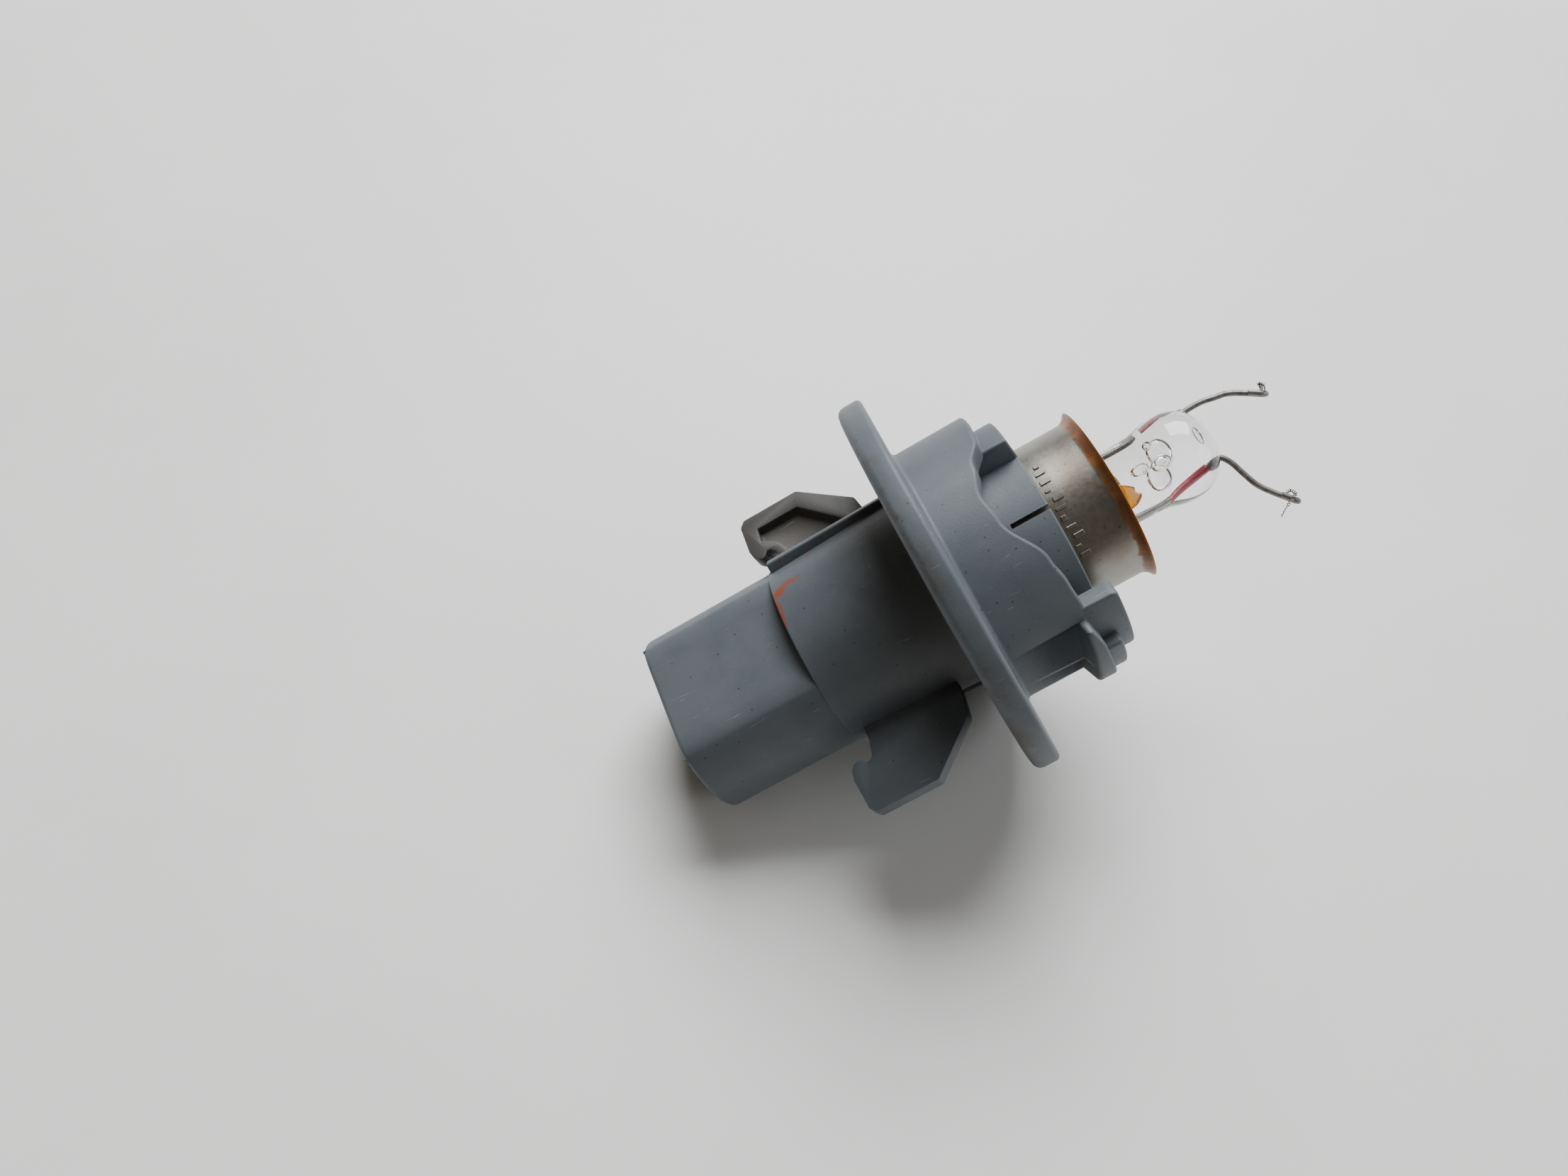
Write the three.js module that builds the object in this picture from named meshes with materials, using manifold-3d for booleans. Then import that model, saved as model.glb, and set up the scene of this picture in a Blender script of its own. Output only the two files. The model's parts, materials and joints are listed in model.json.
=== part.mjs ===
// A twist-lock lamp holder with a two-blade connector shroud, holding the base, stem and lead
// wires of a broken amber bayonet-cap bulb. It lies as it rests on a bench: on the rim of its
// flange and the lower rear edge of its connector shroud, with the bulb end raised.
//
// The pieces are built about the holder's own axis: +X points from the flange's front face
// towards the bulb, +Y towards one finger wing, and +Z out of one flat of the shroud. A clock
// angle starts at +Z and turns towards -Y, which is a positive turn about +X. The last section
// lays the assembly down, with the middle of its box over the origin and the bench at Z = 0.
// Sizes are millimetres and degrees.
import * as THREE from "three";
import { mergeVertices } from "three/addons/utils/BufferGeometryUtils.js";
import Module from "manifold-3d";

const wasm = await Module();
wasm.setup();

// ---------------------------------------------------------------- driving dimensions
const gap = 0.3; // left between pieces that rest on each other
const roundSegments = 48;
const smallSegments = 24;
const camSegments = 60;

const flange = { radius: 18.66, thickness: 2.47, edgeRound: 0.8 };

const collar = { radius: 12.57, wall: 1.95, floor: 4.2 };
// The collar's front edge is a cam: clock angle and height above the flange's front face.
// The same half turn repeats on the far side.
const camEdge = [
  [-90, 7.2], [-40, 7.2], [-24, 6.85], [-12, 5.6], [2, 4.8], [14, 5.1], [36, 7.1], [47, 7.5],
  [60, 7.7],
];

const sleeve = { wall: 0.875, length: 9.4, slitWidth: 0.45, slitClock: 15, slitFrom: 5.8 };
const entryBoss = { rise: 2.2, spread: 32, lead: 4, from: 4, frontSlant: 0.3 };

const barrel = { rootWall: 1.465, tipWall: 1.035, length: 15.16 };
const barrelRib = { rise: 0.9, setback: 0.36, clock: -52.5, spread: 9 };

const shroud = { halfHeight: 7.0, length: 13.56, step: 0.12, wall: 1.2, edgeRound: 0.5 };
const partitionThickness = 2;

const wing = { thickness: 2, pocketDepth: 1 };
// A wing's outline beyond the barrel, as axial place and distance from the axis. Its root runs
// straight in to the barrel's wall.
const wingOutline = [
  [-4.65, 10], [-5.1, 12.4], [-9.9, 16.3], [-15.9, 16.3], [-16.5, 15.7], [-16.7, 12.8],
  [-16.3, 11.6], [-15.6, 11.35], [-15.05, 11.9], [-14.3, 11.5], [-13.95, 10.2],
];
const wingPocket = [
  [-6.7, 10.6], [-10.5, 14.6], [-15.0, 14.6], [-15.1, 13.1], [-14.3, 12.7], [-13.4, 11.9],
  [-13.1, 10.6],
];

const lug = { clock: 82, spread: 44, front: 10.6, cornerRound: 0.7, proud: 0.06 };
// The lug's rib is a ramp: clock angle, rear edge and front edge.
const lockRib = { rise: 1.73, flank: 0.9, run: [[65, 6.5, 7.3], [75, 6.1, 7.8], [105, 5.3, 8.0]] };
const lockBump = { rise: 1.23, from: 7.4, to: 9.3, clock: 92, spread: 23 };

const cap = {
  radius: 7.575, wall: 0.4, rimFront: 15.19, flareRise: 0.725, flareLength: 1.1,
  length: 19, shellSetback: 2.9, mouthLip: 1.575, cornerRound: 0.7,
};
const pin = { radius: 1, rise: 0.925, sunk: 1.075, fromTip: 6.4, spacing: 150 };
const socketClearance = 0.25; // between the cap and the sleeve's bore
const pinClearance = 0.2;

const bulbPush = 1.5; // how far the bulb can be pushed in
const bulbTurn = 25; // how far it turns to reach the entry channels
const entryClock = -44;

const insulator = { tipRadius: 3.5, seat: 1.4 };
const contactPlate = { radius: 2.9, thickness: 0.5, hole: 0.6 };
const solder = { radius: 2, height: 0.55 };

const button = { headRadius: 2.2, headThickness: 0.5, stemRadius: 1.5, flangeThickness: 0.6 };
const discThickness = 1;
const spring = { radius: 2.9, wire: 0.6, turns: 4.5, length: 5.1 };

const blade = { width: 6.3, thickness: 0.8, length: 9.1, nose: 1, slotClearance: 0.3 };
const seat = { margin: 0.4, thickness: 0.6 };
const tongue = { width: 2.4, thickness: 0.3, front: 0.8 };

const envelope = { wall: 0.7, from: 8.6, rim: 14.6, shardFrom: 22, shardTo: 44, shardTip: 16.2 };
const cement = { thickness: 0.4, from: 9.4, to: 13.4 };
const stem = {
  radius: 3.6, wall: 0.7, headRadius: 4.15, headPeak: 21.4, tip: 25.35, cavityTop: 19.4,
  skirtFrom: 9.2, skirtLength: 3.8,
};
const exhaust = { radius: 1.2, bore: 0.7, from: 5.6 };

const leadRadius = 0.25;
const sealHole = 0.42; // radius of the passages that the wires take through the stem's head
const wirePlaneTurn = 25; // the plane of the lead wires, turned about the axis from the wings' plane
// Wire routes as axial place, distance across the axis and, where it matters, height above the
// plane. Each support wire carries on from the last point of its seal wire.
const upperSeal = [[19.0, 2.3], [20.0, 2.6], [22.2, 2.96], [24.4, 3.13]];
const lowerSeal = [[19.0, -2.3], [20.0, -2.2], [21.1, -1.86], [22.9, -1.55], [24.3, -1.66]];
const upperSupport = [[26.0, 3.16], [27.3, 2.92], [28.3, 2.71], [29.5, 2.07], [31.17, 0.95]];
const lowerSupport = [
  [25.08, -1.95], [25.64, -2.71], [26.1, -4.09], [26.62, -5.57], [27.33, -6.67], [28.81, -8.51],
];
const upperFold = [[29.6, 1.75], [30.3, 1.35], [31.0, 0.95]];
const lowerFold = [[27.6, -7.3], [28.2, -7.95], [28.7, -8.5]];
const foldRadius = 0.38;
const filamentRadius = 0.12;
const upperFilament = [
  [31.0, 1.45, 0.3], [31.44, 1.69, 0.5], [31.34, 1.95, 0.7], [31.6, 1.6, 0.9], [31.33, 1.2, 1.1],
];
const lowerFilament = [
  [28.3, -7.4, 0.3], [28.85, -7.33, 0.5], [28.95, -7.85, 0.8], [28.19, -8.2, 1.1],
  [27.54, -8.56, 1.2], [26.77, -9.08, 1.2],
];

// ---------------------------------------------------------------- finishes
function finish(color, roughness, metalness) {
  return new THREE.MeshStandardMaterial({ color, roughness, metalness, flatShading: true });
}

function glass(color, roughness, opacity) {
  return new THREE.MeshStandardMaterial({ color, roughness, transparent: true, opacity });
}
const greyMoulding = finish(0x7f868c, 0.62, 0);
const nickelBrass = finish(0x9a948a, 0.38, 0.9);
const bareBrass = finish(0xb08d4a, 0.4, 0.9);
const tinnedBrass = finish(0xa9a69c, 0.4, 0.9);
const springSteel = finish(0x8a8a8c, 0.35, 0.95);
const fibreBoard = finish(0x5a4030, 0.8, 0);
const blackGlass = finish(0x151518, 0.25, 0);
const solderTin = finish(0xa7a9aa, 0.45, 0.9);
const amberGlass = glass(0xe09a10, 0.1, 0.75);
const clearGlass = glass(0xdfe4e4, 0.05, 0.35);
const basingCement = finish(0xcfc6b2, 0.9, 0);
const sealRed = finish(0xa02a3c, 0.5, 0.3);
const wireGrey = finish(0x54504c, 0.55, 0.8);

// ---------------------------------------------------------------- shape helpers
const radians = THREE.MathUtils.degToRad;

function solidOf(geometry) {
  const bare = new THREE.BufferGeometry().setAttribute("position", geometry.getAttribute("position"));
  if (geometry.index) bare.setIndex(geometry.index);
  const merged = mergeVertices(bare, 1e-4);
  const corners = merged.index.array;
  const kept = [];
  for (let i = 0; i < corners.length; i += 3) {
    const [a, b, c] = corners.subarray(i, i + 3);
    if (a !== b && b !== c && c !== a) kept.push(a, b, c);
  }
  const mesh = new wasm.Mesh({
    numProp: 3,
    vertProperties: merged.attributes.position.array,
    triVerts: new Uint32Array(kept),
  });
  mesh.merge();
  return new wasm.Manifold(mesh);
}

function piece(name, solid, material) {
  const made = solid.getMesh();
  const geometry = new THREE.BufferGeometry()
    .setAttribute("position", new THREE.BufferAttribute(made.vertProperties, 3))
    .setIndex(new THREE.BufferAttribute(made.triVerts, 1));
  geometry.computeVertexNormals();
  const mesh = new THREE.Mesh(geometry, material);
  mesh.name = name;
  return mesh;
}

// A body of revolution about X from a profile of [axial place, radius] points. The profile may
// start and end on the axis, or it closes on itself.
function revolve(profile, segments = roundSegments) {
  const area = profile.reduce((sum, [x, r], i) => {
    const [nextX, nextR] = profile[(i + 1) % profile.length];
    return sum + x * nextR - nextX * r;
  }, 0);
  const outline = area > 0 ? [...profile].reverse() : [...profile];
  const onAxis = outline[0][1] === 0 && outline.at(-1)[1] === 0;
  if (!onAxis) outline.push(outline[0]);
  const points = outline.map(([x, r]) => new THREE.Vector2(r, x));
  const half = Math.PI / segments; // a facet, not a corner, faces each flat of the shroud
  return new THREE.LatheGeometry(points, segments, half, 2 * Math.PI).rotateZ(-Math.PI / 2);
}

function turned(profile, segments) {
  return solidOf(revolve(profile, segments));
}

function rod(from, to, radius, segments = smallSegments) {
  return turned([[from, 0], [from, radius], [to, radius], [to, 0]], segments);
}

function ring(from, to, inner, outer, segments = roundSegments) {
  return turned([[from, inner], [from, outer], [to, outer], [to, inner]], segments);
}

// A prism along X from an outline of [y, z] points.
function prism(outline, from, to) {
  const shape = new THREE.Shape(outline.map(([y, z]) => new THREE.Vector2(y, z)));
  const geometry = new THREE.ExtrudeGeometry(shape, { depth: to - from, bevelEnabled: false });
  const alongX = new THREE.Matrix4().makeBasis(
    new THREE.Vector3(0, 1, 0), new THREE.Vector3(0, 0, 1), new THREE.Vector3(1, 0, 0));
  return solidOf(geometry.applyMatrix4(alongX).translate(from, 0, 0));
}

// A plate normal to Z from an outline of [x, y] points.
function plate(outline, low, high) {
  const shape = new THREE.Shape(outline.map(([x, y]) => new THREE.Vector2(x, y)));
  const geometry = new THREE.ExtrudeGeometry(shape, { depth: high - low, bevelEnabled: false });
  return solidOf(geometry.translate(0, 0, low));
}

function block([x0, y0, z0], [x1, y1, z1]) {
  return solidOf(new THREE.BoxGeometry(x1 - x0, y1 - y0, z1 - z0)
    .translate((x0 + x1) / 2, (y0 + y1) / 2, (z0 + z1) / 2));
}

function onClock(radius, clock) {
  return [-radius * Math.sin(radians(clock)), radius * Math.cos(radians(clock))];
}

// A block that follows the curve of the collar, between two radii and about a clock angle.
function sector(inner, outer, from, to, clock, spread, steps = 10) {
  const clocks = Array.from({ length: steps + 1 }, (_, i) => clock + spread * (i / steps - 0.5));
  const outline = [
    ...clocks.map((angle) => onClock(outer, angle)),
    ...clocks.map((angle) => onClock(inner, angle)).reverse(),
  ];
  return prism(outline, from, to);
}

// A block that follows the clock through four-cornered sections of [axial place, radius] points.
function clockLoft(sections) {
  const corners = sections.flatMap(({ clock, outline }) =>
    outline.map(([x, radius]) => [x, ...onClock(radius, clock)]));
  const faces = [];
  const last = 4 * (sections.length - 1);
  for (let i = 0; i < last; i += 4) {
    for (let k = 0; k < 4; k++) {
      const [a, b] = [i + k, i + ((k + 1) % 4)];
      faces.push(a, b, a + 4, b, b + 4, a + 4);
    }
  }
  faces.push(0, 2, 1, 0, 3, 2, last, last + 1, last + 2, last, last + 2, last + 3);
  const geometry = new THREE.BufferGeometry()
    .setAttribute("position", new THREE.Float32BufferAttribute(corners.flat(), 3))
    .setIndex(faces);
  return solidOf(geometry);
}

// A round wire along a smooth route of [axial place, across] or [axial place, across, height].
function wire(route, radius, steps, sides = 6) {
  const curve = new THREE.CatmullRomCurve3(
    route.map(([x, across, height = 0]) => new THREE.Vector3(x, across, height)), false, "centripetal");
  const section = new THREE.Shape(Array.from({ length: sides }, (_, i) => {
    const angle = (2 * Math.PI * i) / sides;
    return new THREE.Vector2(radius * Math.cos(angle), radius * Math.sin(angle));
  }));
  return solidOf(new THREE.ExtrudeGeometry(section, { steps, extrudePath: curve }));
}

function halfTurn(solid) {
  return solid.rotate([180, 0, 0]);
}

function turnedTo(solid, clock) {
  return solid.rotate([clock, 0, 0]);
}

// ---------------------------------------------------------------- derived places
const boreRadius = cap.radius + socketClearance;
const sleeveRadius = boreRadius + sleeve.wall;
const barrelRoot = boreRadius + barrel.rootWall;
const barrelTip = boreRadius + barrel.tipWall;
const collarInner = collar.radius - collar.wall;
const shroudRadius = barrelTip - shroud.step;
const shroudEnd = barrel.length + shroud.length;
const capTip = cap.rimFront - cap.length;
const shellBack = capTip + cap.shellSetback;
const shellInner = cap.radius - cap.wall;
const pinPlace = capTip + pin.fromTip;
const pinReach = cap.radius + pin.rise;
const pinRoot = cap.radius - pin.sunk;
const mouthRadius = cap.radius - cap.mouthLip;
const entryClocks = [entryClock, entryClock - pin.spacing];
const lockedClocks = entryClocks.map((clock) => clock - bulbTurn);
const buttonFront = capTip - gap;
const discFront = buttonFront - button.headThickness - gap;
const discBack = discFront - discThickness;
const buttonBack = discBack - gap - button.flangeThickness;
const seatFront = buttonBack - gap - spring.length - gap;
const seatBack = seatFront - seat.thickness;
const partitionFront = seatBack - gap;
const partitionBack = partitionFront - partitionThickness;
const springOuter = spring.radius + spring.wire / 2;
const seatRadius = springOuter + seat.margin;
const bladeCentre = seatRadius + gap + blade.thickness / 2 + 0.1;
const bladeEnd = partitionBack - blade.length;
const tongueInner = boreRadius + 0.03; // just behind the bore's wall, and clear of the cap
const tongueOuter = tongueInner + tongue.thickness;
const envelopeOuter = shellInner - gap - cement.thickness - gap;
const envelopeInner = envelopeOuter - envelope.wall;

// ---------------------------------------------------------------- the moulded holder
function flangeDisc() {
  const { radius, thickness, edgeRound } = flange;
  const profile = [[0, 0]];
  for (const step of [0, 30, 60, 90]) {
    profile.push([
      -0.4 + 0.4 * Math.cos(radians(step)),
      radius - 0.4 + 0.4 * Math.sin(radians(step)),
    ]);
  }
  for (const step of [0, 30, 60, 90]) {
    profile.push([
      edgeRound - thickness - edgeRound * Math.sin(radians(step)),
      radius - edgeRound + edgeRound * Math.cos(radians(step)),
    ]);
  }
  profile.push([-thickness, 0]);
  return turned(profile);
}

function camHeight(clock) {
  const half = camEdge[0][0];
  const folded = THREE.MathUtils.euclideanModulo(clock - half, 180) + half;
  const closed = [...camEdge, [half + 180, camEdge[0][1]]];
  const next = closed.findIndex(([place]) => place > folded);
  const [a, low] = closed[next - 1];
  const [b, high] = closed[next];
  const share = (folded - a) / (b - a);
  return low + (high - low) * share * share * (3 - 2 * share);
}

function camCollar() {
  const geometry = revolve(
    [[-1, collarInner], [-1, collar.radius], [1, collar.radius], [1, collarInner]], camSegments);
  const place = geometry.getAttribute("position");
  for (let i = 0; i < place.count; i++) {
    if (place.getX(i) < 0) continue;
    const clock = THREE.MathUtils.radToDeg(Math.atan2(-place.getY(i), place.getZ(i)));
    place.setX(i, camHeight(clock));
  }
  return solidOf(geometry).add(rod(-1, collar.floor, collarInner + 0.5, roundSegments));
}

// The ramp's stations at even steps of the clock.
function steadyRun(run, step = 5) {
  const stations = [run[0]];
  run.slice(1).forEach((next, i) => {
    const previous = run[i];
    const count = Math.round((next[0] - previous[0]) / step);
    for (let k = 1; k <= count; k++) {
      stations.push(previous.map((value, axis) => value + ((next[axis] - value) * k) / count));
    }
  });
  return stations;
}

function lockingLug() {
  const { clock, spread, front, cornerRound, proud } = lug;
  const inside = collar.radius - 0.5;
  const bevel = 0.3;
  const root = collar.floor + 0.5;
  const inner = collarInner + proud;
  const outer = collar.radius + proud;
  const shoulder = sector(inner, outer, root, front - cornerRound, clock, spread);
  const crown = sector(inner + bevel, outer - bevel, root, front, clock, spread - 4);
  const ribTop = collar.radius + lockRib.rise;
  const rib = clockLoft(steadyRun(lockRib.run).map(([place, from, to]) => ({
    clock: place,
    outline: [[from, inside], [to, inside], [to, ribTop], [from + lockRib.flank, ribTop]],
  })));
  const bump = sector(inside - 0.1, collar.radius + lockBump.rise, lockBump.from, lockBump.to,
    lockBump.clock, lockBump.spread);
  return shoulder.add(crown).add(rib).add(bump);
}

function entryHood(clock) {
  const { rise, spread, from, frontSlant } = entryBoss;
  const radius = sleeveRadius + rise;
  const profile = [
    [from, sleeveRadius - 0.5], [from, radius], [sleeve.length - frontSlant, radius],
    [sleeve.length, sleeveRadius], [sleeve.length, sleeveRadius - 0.5],
  ];
  return turned(profile).intersect(sector(1, radius + 1, from - 1, sleeve.length + 1, clock, spread));
}

function doubleD(radius, halfHeight, from, to) {
  const reach = radius + 1;
  return rod(from, to, radius, roundSegments)
    .intersect(block([from - 1, -reach, -halfHeight], [to + 1, reach, halfHeight]));
}

function connectorShroud() {
  const { halfHeight, edgeRound } = shroud;
  const steps = [0, 30, 60, 90].map((step) => [
    edgeRound * (1 - Math.sin(radians(step))),
    edgeRound * (1 - Math.cos(radians(step))),
  ]);
  return steps
    .map(([inset, setback]) => doubleD(shroudRadius - inset, halfHeight - inset, setback - shroudEnd, -1))
    .reduce((whole, layer) => whole.add(layer));
}

function fingerWing() {
  const inWall = boreRadius + 0.55;
  const outline = [[wingOutline[0][0], inWall], ...wingOutline, [wingOutline.at(-1)[0], inWall]];
  return plate(outline, -wing.thickness / 2, wing.thickness / 2);
}

// The pocket is in the upper face of the wing at +Y, and so in the lower face of the other.
function wingRecess() {
  const face = wing.thickness / 2;
  return plate(wingPocket, face - wing.pocketDepth, face + 1);
}

function bayonetTrack(entry) {
  const reach = pinReach + pinClearance + 0.1;
  const halfWidth = pin.radius + pinClearance;
  const halfClock = THREE.MathUtils.radToDeg(halfWidth / cap.radius);
  const back = pinPlace - bulbPush - halfWidth;
  const front = pinPlace + halfWidth;
  const run = sector(boreRadius - 1, reach, back, front, entry - bulbTurn / 2, bulbTurn + 2 * halfClock);
  const channel = sector(boreRadius - 1, reach, back, sleeve.length + 1, entry, 2 * halfClock, 4);
  return run.add(channel);
}

function holderBody() {
  const cone = turned([
    [-1, 0], [-1, barrelRoot], [0.3 - barrel.length, barrelTip],
    [-barrel.length, barrelTip - 0.3], [-barrel.length, 0],
  ]);
  const insideBarrel = boreRadius + 0.2;
  const rib = sector(insideBarrel, barrelTip + barrelRib.rise + 0.2, barrelRib.setback - barrel.length, -1,
    barrelRib.clock, barrelRib.spread, 4);
  let body = flangeDisc().add(camCollar()).add(rod(-1, sleeve.length, sleeveRadius, roundSegments));
  body = body.add(cone).add(connectorShroud());
  for (const side of [(solid) => solid, halfTurn]) {
    body = body.add(side(rib)).add(side(fingerWing()));
  }
  body = body.add(lockingLug());
  for (const entry of entryClocks) body = body.add(entryHood(entry + entryBoss.lead));

  body = body.subtract(wingRecess()).subtract(halfTurn(wingRecess()));
  body = body.subtract(rod(partitionFront, sleeve.length + 1, boreRadius, roundSegments));
  for (const entry of entryClocks) body = body.subtract(bayonetTrack(entry));
  const grooveHalf = tongue.width / 2 + gap;
  body = body.subtract(block(
    [partitionFront, -tongueOuter - gap, -grooveHalf], [tongue.front + 2 * gap, 1 - boreRadius, grooveHalf]));
  const slit = block(
    [sleeve.slitFrom, -sleeve.slitWidth / 2, boreRadius - 1],
    [sleeve.length + 1, sleeve.slitWidth / 2, sleeveRadius + 0.3]);
  body = body.subtract(turnedTo(slit, sleeve.slitClock));
  const inside = { radius: shroudRadius - shroud.wall, half: shroud.halfHeight - shroud.wall };
  body = body.subtract(doubleD(inside.radius, inside.half, -shroudEnd - 1, partitionBack));
  for (const side of [-1, 1]) {
    const halfThickness = blade.thickness / 2 + blade.slotClearance;
    const halfWidth = blade.width / 2 + blade.slotClearance;
    const centre = side * bladeCentre;
    body = body.subtract(block(
      [partitionBack - 1, centre - halfThickness, -halfWidth],
      [partitionFront + 1, centre + halfThickness, halfWidth]));
  }
  return piece("holder_body", body, greyMoulding);
}

// ---------------------------------------------------------------- terminals and sprung contact
function bladeTab(side, front) {
  const half = blade.thickness / 2;
  const edge = blade.width / 2;
  const tab = plate([
    [front, -edge], [bladeEnd + blade.nose, -edge], [bladeEnd, blade.nose - edge],
    [bladeEnd, edge - blade.nose], [bladeEnd + blade.nose, edge], [front, edge],
  ], -half, half);
  return tab.rotate([90, 0, 0]).translate([0, side * bladeCentre, 0]);
}

function supplyTerminal() {
  const washer = rod(seatBack, seatFront, seatRadius);
  const link = block([seatBack, 0, -blade.width / 4], [seatFront, bladeCentre, blade.width / 4]);
  return piece("supply_terminal", bladeTab(1, seatFront).add(washer).add(link), tinnedBrass);
}

function earthTerminal() {
  const half = tongue.width / 2;
  const step = block([seatBack, -tongueOuter, -half], [seatFront, -bladeCentre, half]);
  const strip = block([seatBack, -tongueOuter, -half], [tongue.front, -tongueInner, half]);
  return piece("earth_terminal", bladeTab(-1, seatFront).add(step).add(strip), tinnedBrass);
}

function contactSpring() {
  const wireRadius = spring.wire / 2;
  const start = seatFront + gap + wireRadius;
  const end = buttonBack - gap - wireRadius;
  const steps = 12;
  const route = Array.from({ length: steps * spring.turns + 1 }, (_, i) => {
    const angle = (2 * Math.PI * i) / steps;
    const place = start + ((end - start) * i) / (steps * spring.turns);
    return [place, spring.radius * Math.cos(angle), spring.radius * Math.sin(angle)];
  });
  return piece("contact_spring", wire(route, wireRadius, route.length - 1), springSteel);
}

function contactDisc() {
  const disc = ring(discBack, discFront, button.stemRadius + gap, boreRadius - gap, 32);
  return piece("contact_disc", disc, fibreBoard);
}

function contactButton() {
  const headBack = buttonFront - button.headThickness;
  const flangeFront = discBack - gap;
  const profile = [
    [buttonFront, 0], [buttonFront, button.headRadius - 0.3], [headBack, button.headRadius],
    [headBack, button.stemRadius], [flangeFront, button.stemRadius], [flangeFront, springOuter + 0.1],
    [buttonBack, springOuter + 0.1], [buttonBack, 0],
  ];
  return piece("contact_button", turned(profile, smallSegments), bareBrass);
}

// ---------------------------------------------------------------- the bulb's base
function capShell() {
  const { radius, wall, rimFront, flareRise, flareLength, cornerRound } = cap;
  const flare = [0, 0.5, 1].map((share) => [
    rimFront - flareLength * (1 - share),
    radius + flareRise * share * share,
  ]);
  const inside = flare.map(([x, r]) => [x, r - wall]).reverse();
  const corner = [90, 45, 0].map((step) => [
    shellBack + cornerRound * (1 - Math.sin(radians(step))),
    radius - cornerRound * (1 - Math.cos(radians(step))),
  ]);
  const profile = [
    [shellBack, mouthRadius], ...corner, ...flare, ...inside,
    [shellBack + wall, shellInner], [shellBack + wall, mouthRadius],
  ];
  let shell = turned(profile);
  for (const clock of lockedClocks) {
    shell = shell.subtract(crossPin(clock, pin.radius + pinClearance, pinRoot - 1, pinReach + 1));
  }
  return piece("cap_shell", shell, nickelBrass);
}

// A round pin that points straight out from the axis.
function crossPin(clock, radius, from, to) {
  const upright = rod(from, to, radius, 24).rotate([0, -90, 0]);
  return turnedTo(upright, clock).translate([pinPlace, 0, 0]);
}

function bayonetPins() {
  return lockedClocks.map((clock, i) =>
    piece(`bayonet_pin_${i + 1}`, crossPin(clock, pin.radius, pinRoot, pinReach), nickelBrass));
}

function baseInsulator() {
  const inside = shellBack + cap.wall + gap;
  const end = capTip + solder.height + contactPlate.thickness + 2 * gap;
  const waist = mouthRadius - gap;
  const seated = shellInner - gap;
  const profile = [
    [end, contactPlate.hole], [end, insulator.tipRadius], [shellBack - 0.3, waist], [inside, waist],
    [inside, seated], [inside + insulator.seat, seated], [inside + insulator.seat, contactPlate.hole],
  ];
  return piece("base_insulator", turned(profile, smallSegments), blackGlass);
}

function centreContact() {
  const { radius, thickness, hole } = contactPlate;
  const back = capTip + solder.height + gap;
  return piece("centre_contact", ring(back, back + thickness, hole, radius, smallSegments), bareBrass);
}

function contactSolder() {
  const profile = [[capTip + solder.height, 0]];
  for (const step of [0, 30, 60, 90]) {
    profile.push([
      capTip + solder.height * (1 - Math.sin(radians(step))),
      solder.radius * Math.cos(radians(step)),
    ]);
  }
  return piece("contact_solder", turned(profile, smallSegments), solderTin);
}

// ---------------------------------------------------------------- the bulb's glass
function basingCementRing() {
  const outer = shellInner - gap;
  const seating = ring(cement.from, cement.to, outer - cement.thickness, outer, 32);
  return piece("basing_cement", seating, basingCement);
}

function envelopeStub() {
  const middle = (envelope.shardFrom + envelope.shardTo) / 2;
  const spread = envelope.shardTo - envelope.shardFrom;
  let stub = ring(envelope.from, envelope.rim, envelopeInner, envelopeOuter, 36);
  for (const [tip, clock, width] of [
    [(envelope.rim + envelope.shardTip) / 2, middle, spread],
    [envelope.shardTip, middle + spread / 6, spread / 2],
  ]) {
    stub = stub.add(sector(envelopeInner, envelopeOuter, envelope.rim - 1, tip, clock, width, 6));
  }
  return piece("envelope_stub", stub, amberGlass);
}

function glassStem() {
  const { radius, wall, headRadius, headPeak, tip, cavityTop, skirtFrom, skirtLength } = stem;
  const skirtRadius = envelopeInner - gap;
  const skirtTop = skirtFrom + skirtLength;
  const neck = headPeak - 2.8;
  const outer = [
    [skirtFrom, skirtRadius], [skirtFrom + 0.6, skirtRadius], [skirtTop, radius], [neck, radius],
    [(neck + headPeak) / 2, (radius + headRadius) / 2],
  ];
  for (const step of [0, 25, 50, 72]) {
    outer.push([
      headPeak + (tip - headPeak) * Math.sin(radians(step)),
      headRadius * Math.cos(radians(step)),
    ]);
  }
  outer.push([tip, 0]);
  const inner = [
    [cavityTop, 0], [cavityTop, 1.6], [cavityTop - 0.5, radius - wall - 0.4],
    [cavityTop - 1.2, radius - wall], [skirtTop - 0.4, radius - wall], [skirtFrom, skirtRadius - wall],
  ];
  const passages = [upperSeal, lowerSeal].map((route) => {
    const [beforeX, beforeY] = route[0];
    const [afterX, afterY] = route.at(-1);
    return wire([[beforeX - 1, beforeY], ...route, [afterX + 1.5, afterY]], sealHole, 12);
  });
  const solid = turned([...outer, ...inner], 32);
  return piece("glass_stem", solid.subtract(passages[0]).subtract(passages[1]), clearGlass);
}

function exhaustTube() {
  const tube = ring(exhaust.from, stem.cavityTop - gap, exhaust.bore, exhaust.radius, 24);
  return piece("exhaust_tube", tube, clearGlass);
}

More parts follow.
